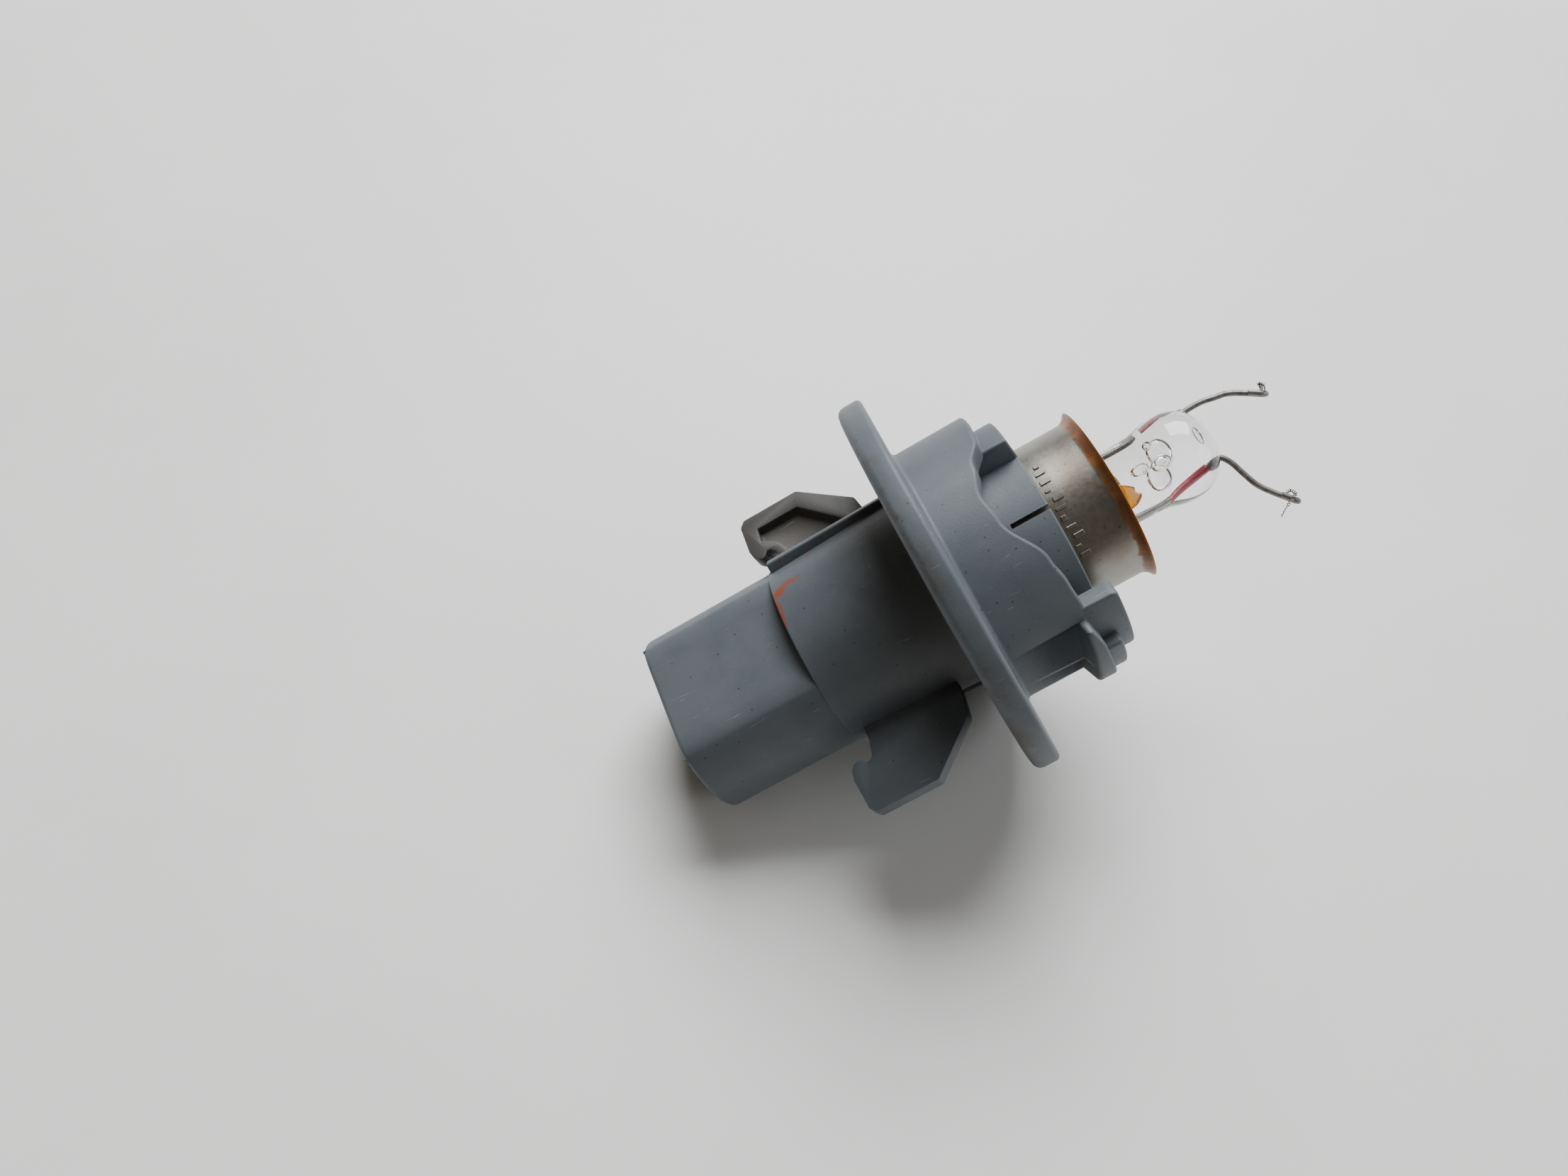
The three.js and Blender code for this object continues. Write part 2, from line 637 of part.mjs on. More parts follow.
// ---------------------------------------------------------------- the bulb's wires
function innerLeads() {
  const supply = [
    [upperSeal[1][0] - gap, upperSeal[1][1] - 0.05], upperSeal[0], [6, upperSeal[0][1]],
    [4.2, 1.6], [2.8, 0.3], [1.6, 0], [capTip + solder.height + gap, 0],
  ];
  const earth = [
    [lowerSeal[1][0] - gap, lowerSeal[1][1]], lowerSeal[0], [9, lowerSeal[0][1]],
    [7, -3.4], [6.2, 2 * gap - shellInner],
  ];
  return [
    piece("inner_lead_supply", wire(supply, leadRadius, 18), wireGrey),
    piece("inner_lead_earth", wire(earth, leadRadius, 14), wireGrey),
  ];
}

function sealWires() {
  return [["seal_wire_supply", upperSeal], ["seal_wire_earth", lowerSeal]].map(([name, route]) =>
    piece(name, wire([route[1], ...route.slice(2, -1)], leadRadius, 6), sealRed));
}

function supportWires() {
  return [
    ["support_wire_supply", upperSeal, upperSupport, upperFold],
    ["support_wire_earth", lowerSeal, lowerSupport, lowerFold],
  ].map(([name, seal, support, fold]) => {
    const [lastX, lastY] = seal.at(-2);
    const start = [lastX + gap, lastY + (seal.at(-1)[1] - lastY) * 0.15];
    const run = wire([start, seal.at(-1), ...support], leadRadius, 22).add(wire(fold, foldRadius, 4));
    return piece(name, run, wireGrey);
  });
}

function filamentRemnants() {
  return [["filament_remnant_supply", upperFilament], ["filament_remnant_earth", lowerFilament]].map(
    ([name, route]) => piece(name, wire(route, filamentRadius, 14, 5), wireGrey));
}

// ---------------------------------------------------------------- assembly
// The pitch at which the flange's rear rim and the shroud's lower rear edge are equally low.
function restingPitch() {
  const along = shroudEnd - shroud.edgeRound - (flange.thickness - flange.edgeRound);
  const across = flange.radius - flange.edgeRound - (shroud.halfHeight - shroud.edgeRound);
  const slack = flange.edgeRound - shroud.edgeRound;
  return Math.atan2(across, along) + Math.asin(slack / Math.hypot(across, along));
}

const bulb = new THREE.Group();
bulb.add(capShell(), ...bayonetPins(), baseInsulator(), centreContact(), contactSolder());
bulb.add(basingCementRing(), envelopeStub());

const mount = new THREE.Group();
mount.add(glassStem(), exhaustTube(), ...innerLeads(), ...sealWires());
mount.add(...supportWires(), ...filamentRemnants());
mount.rotation.x = radians(wirePlaneTurn);
bulb.add(mount);

const holder = new THREE.Group();
holder.add(holderBody(), supplyTerminal(), earthTerminal(), contactSpring(), contactDisc(), contactButton());

const assembly = new THREE.Group();
assembly.add(holder, bulb);
assembly.rotation.y = -restingPitch();

const group = new THREE.Group();
group.add(assembly);
group.updateMatrixWorld(true);
const box = new THREE.Box3().setFromObject(assembly, true);
const middle = box.getCenter(new THREE.Vector3());
assembly.position.set(-middle.x, -middle.y, -box.min.z);

export default group;
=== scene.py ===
"""A twist-lock lamp holder with what is left of its broken amber bulb, on a pale bench.

The moulding, the bulb's cap, its glass and its wires are modelled here, in the holder's own axis
frame and in millimetres, then laid down on the bench in the frame's place. Every other piece is the
frame's own, in a procedural finish.
"""

from __future__ import annotations

import json
import logging
import math
from collections.abc import Callable, Sequence
from dataclasses import dataclass, field
from enum import Enum

import bmesh
import bpy
from mathutils import Matrix, Vector


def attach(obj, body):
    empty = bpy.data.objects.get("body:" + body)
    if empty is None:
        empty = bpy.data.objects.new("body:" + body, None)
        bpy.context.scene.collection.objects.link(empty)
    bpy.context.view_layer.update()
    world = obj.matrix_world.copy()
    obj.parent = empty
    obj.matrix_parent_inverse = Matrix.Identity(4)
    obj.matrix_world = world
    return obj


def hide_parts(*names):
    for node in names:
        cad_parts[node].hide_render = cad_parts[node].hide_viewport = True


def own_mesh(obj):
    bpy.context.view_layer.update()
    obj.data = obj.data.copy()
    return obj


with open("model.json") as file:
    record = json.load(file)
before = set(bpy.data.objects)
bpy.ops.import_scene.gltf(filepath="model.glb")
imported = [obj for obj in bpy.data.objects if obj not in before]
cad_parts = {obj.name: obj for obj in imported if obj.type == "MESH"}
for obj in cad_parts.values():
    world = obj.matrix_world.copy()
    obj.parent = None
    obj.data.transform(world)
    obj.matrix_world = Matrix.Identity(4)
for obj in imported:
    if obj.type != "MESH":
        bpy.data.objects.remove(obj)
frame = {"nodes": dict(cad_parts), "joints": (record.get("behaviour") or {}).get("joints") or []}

LOG = logging.getLogger("lamp_holder")
MM = 0.001
TINY = 2e-6

Point = tuple[float, float]
Place = tuple[float, float, float]
Colour = tuple[float, float, float]


class Body(Enum):
    """The bodies that the joints move."""

    HOLDER = "holder"
    PLUNGER = "contact_plunger"
    BULB = "bulb"


class Cut(Enum):
    """What a tool solid does to the piece that it is combined with."""

    ADD = "UNION"
    TAKE = "DIFFERENCE"


class Circuit(Enum):
    """The bulb's two electrical sides."""

    SUPPLY = "supply"
    EARTH = "earth"


# ------------------------------------------------------------------ the holder's axis frame
@dataclass(frozen=True)
class AxisFrame:
    """The holder's own frame: X along the axis to the bulb, Y to one wing, Z out of a flat."""

    origin: Vector
    along: Vector

    @classmethod
    def from_joints(cls, joints: Sequence[dict]) -> AxisFrame:
        """Reads the frame from the joint that turns the bulb.

        Args:
            joints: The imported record's joints.

        Returns:
            The frame, with its origin in the middle of the flange's front face.
        """
        turn = next(joint for joint in joints if joint["type"] == "hinge")
        return cls(Vector(turn["pos_m"]), Vector(turn["axis"]).normalized())

    @property
    def pitch(self) -> float:
        """How far the axis rises from the bench, in radians."""
        return math.atan2(self.along.z, self.along.x)

    @property
    def matrix(self) -> Matrix:
        """The matrix that lays a piece down from the axis frame to its place on the bench."""
        return Matrix.Translation(self.origin) @ Matrix.Rotation(-self.pitch, 4, "Y")


AXIS = AxisFrame.from_joints(frame["joints"])


# ------------------------------------------------------------------ modelling tools
def choose_nothing() -> None:
    """Leaves edit mode and deselects every object."""
    if bpy.context.object and bpy.context.object.mode != "OBJECT":
        bpy.ops.object.mode_set(mode="OBJECT")
    bpy.ops.object.select_all(action="DESELECT")


def use_only(piece: bpy.types.Object) -> None:
    """Makes a piece the only selected and active object."""
    choose_nothing()
    piece.select_set(True)
    bpy.context.view_layer.objects.active = piece


def start_piece(name: str, adder: Callable, **sizes: object) -> bpy.types.Object:
    """Adds a primitive with nothing else selected, names it and opens it for editing.

    Args:
        name: The new object's name.
        adder: The primitive's operator.
        sizes: What the operator is given.

    Returns:
        The new object, in edit mode with everything selected.
    """
    choose_nothing()
    adder(**sizes)
    piece = bpy.context.object
    piece.name = name
    piece.data.name = name
    bpy.ops.object.mode_set(mode="EDIT")
    bpy.ops.mesh.select_mode(type="VERT")
    bpy.ops.mesh.select_all(action="SELECT")
    return piece


def end_edit(piece: bpy.types.Object) -> bpy.types.Object:
    """Merges doubles, turns the faces outwards and leaves edit mode."""
    bpy.ops.mesh.select_all(action="SELECT")
    bpy.ops.mesh.remove_doubles(threshold=TINY)
    bpy.ops.mesh.normals_make_consistent(inside=False)
    bpy.ops.object.mode_set(mode="OBJECT")
    return piece


def draw_line(name: str, places: Sequence[Place]) -> bpy.types.Object:
    """Draws a chain of edges, by drawing one vertex out from place to place.

    Args:
        name: The new object's name.
        places: The corners, in millimetres.

    Returns:
        The object, still in edit mode.
    """
    piece = start_piece(name, bpy.ops.mesh.primitive_plane_add, size=MM)
    bpy.ops.mesh.merge(type="CENTER")
    corners = [Vector(place) * MM for place in places]
    bpy.ops.transform.translate(value=corners[0])
    for here, there in zip(corners, corners[1:]):
        bpy.ops.mesh.extrude_vertices_move(TRANSFORM_OT_translate={"value": there - here})
    bpy.ops.mesh.select_all(action="SELECT")
    bpy.ops.mesh.remove_doubles(threshold=TINY)
    return piece


def choose(kind: str, test: Callable[[Vector], bool]) -> int:
    """Selects the parts of the edited mesh whose middle passes a test, and nothing else.

    Args:
        kind: "verts", "edges" or "faces".
        test: Says yes or no to a place, in millimetres.

    Returns:
        How many were selected.
    """
    mesh = bpy.context.object.data
    edited = bmesh.from_edit_mesh(mesh)
    bpy.ops.mesh.select_mode(type={"verts": "VERT", "edges": "EDGE", "faces": "FACE"}[kind])
    bpy.ops.mesh.select_all(action="DESELECT")
    count = 0
    for part in getattr(edited, kind):
        corners = [part] if kind == "verts" else part.verts
        middle = sum((corner.co for corner in corners), Vector()) / len(corners)
        if test(middle / MM):
            part.select_set(True)
            count += 1
    edited.select_flush_mode()
    bmesh.update_edit_mesh(mesh)
    return count


def spin_round(name: str, profile: Sequence[Point], steps: int = 128) -> bpy.types.Object:
    """Spins a profile of (axial place, radius) once round the axis.

    Args:
        name: The new object's name.
        profile: The corners, in millimetres. The first is repeated at the end where the profile
            closes on itself, and otherwise both ends lie on the axis.
        steps: How many faces go round.

    Returns:
        The closed piece.
    """
    piece = draw_line(name, [(x, 0.0, radius) for x, radius in profile])
    bpy.ops.mesh.spin(steps=steps, angle=math.tau, center=(0, 0, 0), axis=(1, 0, 0))
    return end_edit(piece)


def slide_corners(
    piece: bpy.types.Object, how_far: Callable[[float, float, float], float]
) -> None:
    """Slides a piece's corners along the axis, each by its own amount.

    Args:
        piece: The piece.
        how_far: Gives the slide in millimetres from a corner's axial place, radius and clock.
    """
    for corner in piece.data.vertices:
        x, y, z = corner.co / MM
        clock = math.degrees(math.atan2(-y, z))
        corner.co.x += how_far(x, math.hypot(y, z), clock) * MM


def spin_part(
    name: str, outline: Sequence[Point], clock: float, spread: float, steps: int = 16
) -> bpy.types.Object:
    """Spins a filled outline part of the way round, as a block that follows the collar's curve.

    Args:
        name: The new object's name.
        outline: The corners as (axial place, radius), in millimetres.
        clock: The clock angle of its middle, in degrees.
        spread: How far round it goes, in degrees.
        steps: How many faces it has along the curve.

    Returns:
        The closed block.
    """
    piece = draw_line(name, [(x, 0.0, radius) for x, radius in [*outline, outline[0]]])
    bpy.ops.mesh.edge_face_add()
    bpy.ops.mesh.spin(steps=steps, angle=math.radians(spread), center=(0, 0, 0), axis=(1, 0, 0))
    end_edit(piece)
    return turn(piece, clock + spread / 2)


def raise_outline(name: str, outline: Sequence[Place], lift: Place) -> bpy.types.Object:
    """Fills a flat outline and draws it out into a prism.

    Args:
        name: The new object's name.
        outline: The corners, in millimetres.
        lift: How far and which way the face is drawn out, in millimetres.

    Returns:
        The closed prism.
    """
    piece = draw_line(name, [*outline, outline[0]])
    bpy.ops.mesh.edge_face_add()
    bpy.ops.mesh.extrude_region_move(TRANSFORM_OT_translate={"value": Vector(lift) * MM})
    return end_edit(piece)


def add_block(name: str, low: Place, high: Place) -> bpy.types.Object:
    """Adds a rectangular tool solid between two corners, in millimetres."""
    middle = (Vector(low) + Vector(high)) / 2 * MM
    size = (Vector(high) - Vector(low)) * MM
    piece = start_piece(name, bpy.ops.mesh.primitive_cube_add, size=1, location=middle)
    bpy.ops.object.mode_set(mode="OBJECT")
    piece.scale = size
    settle(piece)
    return piece


def add_oval(
    name: str, middle: Vector, radius: float, stretch: Place, segments: int, rings: int
) -> bpy.types.Object:
    """Adds a ball and stretches it into an oval.

    Args:
        name: The new object's name.
        middle: Its middle, in millimetres.
        radius: The ball's radius, in millimetres.
        stretch: How far it is stretched along each axis.
        segments: How many faces go round it.
        rings: How many faces go from pole to pole.

    Returns:
        The oval.
    """
    place = middle * MM
    oval = start_piece(
        name, bpy.ops.mesh.primitive_uv_sphere_add, segments=segments, ring_count=rings,
        radius=radius * MM, location=place,
    )
    bpy.ops.transform.resize(value=stretch, center_override=place)
    return settle(oval)


def settle(piece: bpy.types.Object) -> bpy.types.Object:
    """Puts an object's place, turn and scale into its mesh."""
    use_only(piece)
    bpy.ops.object.transform_apply(location=True, rotation=True, scale=True)
    return piece


def turn(piece: bpy.types.Object, clock: float) -> bpy.types.Object:
    """Turns a piece about the axis by a clock angle, in degrees."""
    piece.rotation_euler.x = math.radians(clock)
    return settle(piece)


def copy_turned(piece: bpy.types.Object, clock: float) -> bpy.types.Object:
    """Copies a piece, with its own mesh, and turns the copy about the axis."""
    twin = piece.copy()
    twin.data = piece.data.copy()
    bpy.context.scene.collection.objects.link(twin)
    return turn(twin, clock)


def soften(
    piece: bpy.types.Object, width: float, segments: int = 2, angle: float = 32.0
) -> bpy.types.Object:
    """Rounds a piece's sharp edges.

    Args:
        piece: The piece.
        width: The rounding's width, in millimetres.
        segments: How many faces cross it.
        angle: The least angle between faces that counts as sharp, in degrees.

    Returns:
        The same piece.
    """
    use_only(piece)
    bpy.ops.object.modifier_add(type="BEVEL")
    bevel = piece.modifiers[-1]
    bevel.width = width * MM
    bevel.segments = segments
    bevel.limit_method = "ANGLE"
    bevel.angle_limit = math.radians(angle)
    bevel.use_clamp_overlap = True
    bpy.ops.object.modifier_apply(modifier=bevel.name)
    return piece


def combine(piece: bpy.types.Object, tool: bpy.types.Object, cut: Cut) -> None:
    """Joins a tool solid to a piece, or takes it away, and removes the tool."""
    use_only(piece)
    bpy.ops.object.modifier_add(type="BOOLEAN")
    boolean = piece.modifiers[-1]
    boolean.operation = cut.value
    boolean.solver = "EXACT"
    boolean.object = tool
    bpy.ops.object.modifier_apply(modifier=boolean.name)
    bpy.data.objects.remove(tool)


def join(pieces: Sequence[bpy.types.Object]) -> bpy.types.Object:
    """Joins pieces into the first one's object."""
    use_only(pieces[0])
    for piece in pieces[1:]:
        piece.select_set(True)
    bpy.ops.object.join()
    return pieces[0]


def lay_down(
    piece: bpy.types.Object,
    body: Body,
    material: bpy.types.Material,
    smooth: float = 32.0,
    replaces: Sequence[str] = (),
) -> bpy.types.Object:
    """Lays a finished piece down in its place on the bench and gives it its body and finish.

    Args:
        piece: The piece, in the axis frame.
        body: The body it rides on.
        material: Its finish.
        smooth: The angle below which its faces shade as one, in degrees.
        replaces: The frame's nodes that it stands for.

    Returns:
        The same piece.
    """
    piece.matrix_world = AXIS.matrix
    settle(piece)
    bpy.ops.object.shade_smooth_by_angle(angle=math.radians(smooth))
    piece.data.materials.clear()
    piece.data.materials.append(material)
    if replaces:
        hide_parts(*replaces)
    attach(piece, body.value)
    LOG.info("%s: %d faces on %s", piece.name, len(piece.data.polygons), body.value)
    return piece


def rounded(corners: Sequence[tuple[float, float, float]], steps: int = 4) -> list[Point]:
    """Rounds the corners of an open or closed outline.

    Args:
        corners: Each corner as (axial place, radius, rounding), in millimetres. The outline
            closes on itself where its first and last corners are the same.
        steps: How many straight pieces make up each rounding.

    Returns:
        The outline's points, ending on the first one where it is closed.
    """
    closed = corners[0][:2] == corners[-1][:2]
    ring = list(corners[:-1]) if closed else list(corners)
    points: list[Point] = []
    for i, (x, radius, rounding) in enumerate(ring):
        ends = not closed and i in (0, len(ring) - 1)
        if rounding <= 0 or ends:
            points.append((x, radius))
            continue
        here = Vector((x, radius))
        back = (Vector(ring[i - 1][:2]) - here).normalized()
        on = (Vector(ring[(i + 1) % len(ring)][:2]) - here).normalized()
        half = back.angle(on) / 2
        reach = rounding / math.tan(half)
        middle = here + (back + on).normalized() * rounding / math.sin(half)
        first = here + back * reach - middle
        sweep = first.angle_signed(here + on * reach - middle)
        for step in range(steps + 1):
            arm = first.copy()
            arm.rotate(Matrix.Rotation(-sweep * step / steps, 2))
            points.append(tuple(middle + arm))
    if closed:
        points.append(points[0])
    return points


def smooth_route(route: Sequence[Place], steps: int = 10) -> list[Vector]:
    """Runs a smooth line through places, as the frame's wires do.

    Args:
        route: The places, in millimetres.
        steps: How many straight pieces lie between two places.

    Returns:
        The line's points, in millimetres.
    """
    knots = [Vector(place) for place in route]
    knots = [2 * knots[0] - knots[1], *knots, 2 * knots[-1] - knots[-2]]
    line = [knots[1]]
    for a, b, c, d in zip(knots, knots[1:], knots[2:], knots[3:]):
        gaps = [math.sqrt(max((q - p).length, 1e-6)) for p, q in ((a, b), (b, c), (c, d))]
        out = (b - a) / gaps[0] - (c - a) / (gaps[0] + gaps[1]) + (c - b) / gaps[1]
        into = (c - b) / gaps[1] - (d - b) / (gaps[1] + gaps[2]) + (d - c) / gaps[2]
        out, into = out * gaps[1], into * gaps[1]
        for step in range(1, steps + 1):
            t = step / steps
            line.append(
                b * (2 * t**3 - 3 * t**2 + 1) + out * (t**3 - 2 * t**2 + t)
                + c * (3 * t**2 - 2 * t**3) + into * (t**3 - t**2)
            )
    return line


def draw_wire(
    name: str, line: Sequence[Vector], radius: float, sides: int = 3
) -> bpy.types.Object:
    """Makes a round wire with closed ends along a line of points, in millimetres.

    Args:
        name: The new object's name.
        line: The points.
        radius: The wire's radius.
        sides: The roundness: it has 4 + 2 * sides faces round.

    Returns:
        The wire as a mesh.
    """
    choose_nothing()
    bpy.ops.curve.primitive_nurbs_path_add()
    path = bpy.context.object
    path.name = name
    path.data.name = name
    path.data.splines.clear()
    spline = path.data.splines.new("POLY")
    spline.points.add(len(line) - 1)
    for knot, place in zip(spline.points, line):
        knot.co = (*(place * MM), 1)
    path.data.dimensions = "3D"
    path.data.bevel_depth = radius * MM
    path.data.bevel_resolution = sides
    path.data.use_fill_caps = True
    use_only(path)
    bpy.ops.object.convert(target="MESH")
    wire = bpy.context.object
    bpy.ops.object.mode_set(mode="EDIT")
    return end_edit(wire)


# ------------------------------------------------------------------ material recipes
Input = bpy.types.NodeSocket | float


class Recipe:
    """A material's nodes, with short names for the steps that the finishes share."""

    def __init__(self, name: str) -> None:
        """Starts a material with a surface shader and an output."""
        self.material = bpy.data.materials.new(name)
        self.material.use_nodes = True
        self.tree = self.material.node_tree
        self.tree.nodes.clear()
        self.shader = self.tree.nodes.new("ShaderNodeBsdfPrincipled")
        output = self.tree.nodes.new("ShaderNodeOutputMaterial")
        self.tree.links.new(self.shader.outputs[0], output.inputs["Surface"])
        self.place = self._axis_place()
        parts = self.node("ShaderNodeSeparateXYZ")
        self.feed(parts.inputs[0], self.place)
        self.axial, self.across, self.height = parts.outputs

    def node(self, kind: str) -> bpy.types.Node:
        """Adds a node of a kind."""
        return self.tree.nodes.new(kind)

    def feed(self, socket: bpy.types.NodeSocket, value: Input | Sequence[float]) -> None:
        """Links a value to a socket, or sets it."""
        if isinstance(value, bpy.types.NodeSocket):
            self.tree.links.new(value, socket)
        else:
            socket.default_value = value

    def _axis_place(self) -> bpy.types.NodeSocket:
        """Gives the place on the piece in the axis frame, in millimetres."""
        origin = self.node("ShaderNodeTexCoord")
        mapping = self.node("ShaderNodeMapping")
        mapping.vector_type = "POINT"
        back = AXIS.matrix.inverted()
        mapping.inputs["Location"].default_value = back.translation / MM
        mapping.inputs["Rotation"].default_value = (0, AXIS.pitch, 0)
        mapping.inputs["Scale"].default_value = (1 / MM,) * 3
        self.feed(mapping.inputs["Vector"], origin.outputs["Object"])
        return mapping.outputs["Vector"]

    def maths(self, kind: str, first: Input, second: Input = 0.0) -> bpy.types.NodeSocket:
        """Works out one sum, such as "MULTIPLY" or "ARCTAN2"."""
        node = self.node("ShaderNodeMath")
        node.operation = kind
        self.feed(node.inputs[0], first)
        self.feed(node.inputs[1], second)
        return node.outputs[0]

    def times(self, first: Input, *others: Input) -> bpy.types.NodeSocket:
        """Multiplies values together."""
        for other in others:
            first = self.maths("MULTIPLY", first, other)
        return first

    def plus(self, first: Input, second: Input) -> bpy.types.NodeSocket:
        """Adds two values."""
        return self.maths("ADD", first, second)

    def minus(self, first: Input, second: Input) -> bpy.types.NodeSocket:
        """Takes the second value from the first."""
        return self.maths("SUBTRACT", first, second)

    @property
    def radial(self) -> bpy.types.NodeSocket:
        """The distance from the axis, in millimetres."""
        squares = [self.times(side, side) for side in (self.across, self.height)]
        return self.maths("SQRT", self.plus(*squares))

    @property
    def clock(self) -> bpy.types.NodeSocket:
        """The clock angle in degrees, from the upper flat towards -Y."""
        angle = self.maths("ARCTAN2", self.times(self.across, -1.0), self.height)
        return self.times(angle, math.degrees(1))

    def rise(self, value: Input, low: Input, high: Input) -> bpy.types.NodeSocket:
        """Goes smoothly from 0 at low to 1 at high. High may be below low."""
        node = self.node("ShaderNodeMapRange")
        node.interpolation_type = "SMOOTHSTEP"
        for name, given in (("Value", value), ("From Min", low), ("From Max", high)):
            self.feed(node.inputs[name], given)
        return node.outputs["Result"]

    def within(self, value: Input, low: float, high: float, soft: float) -> bpy.types.NodeSocket:
        """Is 1 between low and high, and falls to 0 over a soft edge on each side."""
        up = self.rise(value, low - soft, low + soft)
        down = self.rise(value, high + soft, high - soft)
        return self.times(up, down)

    def patch(self, middle: Point, half: Point, warp: Input = 0.0) -> bpy.types.NodeSocket:
        """Marks a soft oval about an (axial, clock) place, with half sizes in mm and degrees."""
        sides = []
        for value, place, size in zip((self.axial, self.clock), middle, half):
            shifted = self.maths("DIVIDE", self.minus(value, place), size)
            sides.append(self.times(shifted, shifted))
        distance = self.plus(self.plus(*sides), warp)
        return self.rise(distance, 1.3, 0.2)

    def _moved(self, shift: Place, stretch: Place = (1, 1, 1)) -> bpy.types.NodeSocket:
        """Gives the place on the piece, stretched and then moved."""
        mapping = self.node("ShaderNodeMapping")
        mapping.inputs["Scale"].default_value = stretch
        mapping.inputs["Location"].default_value = shift
        self.feed(mapping.inputs["Vector"], self.place)
        return mapping.outputs["Vector"]

    def uneven(
        self, reach: float, scale: float, detail: float, rough: float, shift: float = 0.0
    ) -> bpy.types.NodeSocket:
        """Gives noise about zero, to make an edge ragged by about half its reach each way."""
        cloud = self.noise(scale, detail, rough, shift=shift)
        return self.times(self.minus(cloud, 0.5), reach)

    def noise(
        self, scale: float, detail: float = 3.0, rough: float = 0.55,
        stretch: Place = (1, 1, 1), twist: float = 0.0, shift: float = 0.0,
    ) -> bpy.types.NodeSocket:
        """Gives noise with about so many lumps a millimetre, stretched along the axis frame.

        Args:
            scale: Lumps a millimetre.
            detail: How many finer layers there are.
            rough: How strong the finer layers are.
            stretch: How the place is scaled before the noise reads it.
            twist: How far the noise is warped.
            shift: Moves the noise, so that two of the same scale differ.

        Returns:
            The noise, from 0 to 1.
        """
        node = self.node("ShaderNodeTexNoise")
        place = self._moved((shift, shift * 0.7, -shift), stretch)
        self.feed(node.inputs["Vector"], place)
        node.inputs["Scale"].default_value = scale
        node.inputs["Detail"].default_value = detail
        node.inputs["Roughness"].default_value = rough
        node.inputs["Distortion"].default_value = twist
        return node.outputs["Fac"]

    def specks(self, scale: float, size: float, shift: float = 0.0) -> bpy.types.NodeSocket:
        """Marks small scattered specks, about so many a millimetre each way."""
        node = self.node("ShaderNodeTexVoronoi")
        self.feed(node.inputs["Vector"], self._moved((shift, -shift, shift * 0.3)))
        node.inputs["Scale"].default_value = scale
        return self.rise(node.outputs["Distance"], size, size * 0.4)

    def mix(
        self, share: Input, base: Input | Colour, over: Input | Colour
    ) -> bpy.types.NodeSocket:
        """Lays one colour over another by a share from 0 to 1."""
        node = self.node("ShaderNodeMix")
        node.data_type = "RGBA"
        self.feed(node.inputs["Factor"], share)
        for socket, value in ((node.inputs["A"], base), (node.inputs["B"], over)):
            self.feed(socket, value if isinstance(value, bpy.types.NodeSocket) else (*value, 1))
        return node.outputs["Result"]

    def edges(self, radius: float) -> bpy.types.NodeSocket:
        """Marks the edges of a piece, about so many millimetres wide."""
        bevel = self.node("ShaderNodeBevel")
        bevel.samples = 6
        bevel.inputs["Radius"].default_value = radius * MM
        flat = self.node("ShaderNodeNewGeometry")
        dot = self.node("ShaderNodeVectorMath")
        dot.operation = "DOT_PRODUCT"
        self.feed(dot.inputs[0], bevel.outputs["Normal"])
        self.feed(dot.inputs[1], flat.outputs["Normal"])
        return self.rise(dot.outputs["Value"], 0.985, 0.86)

    def bump(self, height: Input, depth: float) -> None:
        """Gives the surface a relief, so many millimetres deep."""
        node = self.node("ShaderNodeBump")
        node.inputs["Strength"].default_value = 1.0
        node.inputs["Distance"].default_value = depth * MM
        self.feed(node.inputs["Height"], height)
        self.feed(self.shader.inputs["Normal"], node.outputs["Normal"])

    def set(self, **values: Input | Sequence[float]) -> None:
        """Sets the shader's own sockets, named with underscores for spaces."""
        for name, value in values.items():
            self.feed(self.shader.inputs[name.replace("_", " ")], value)


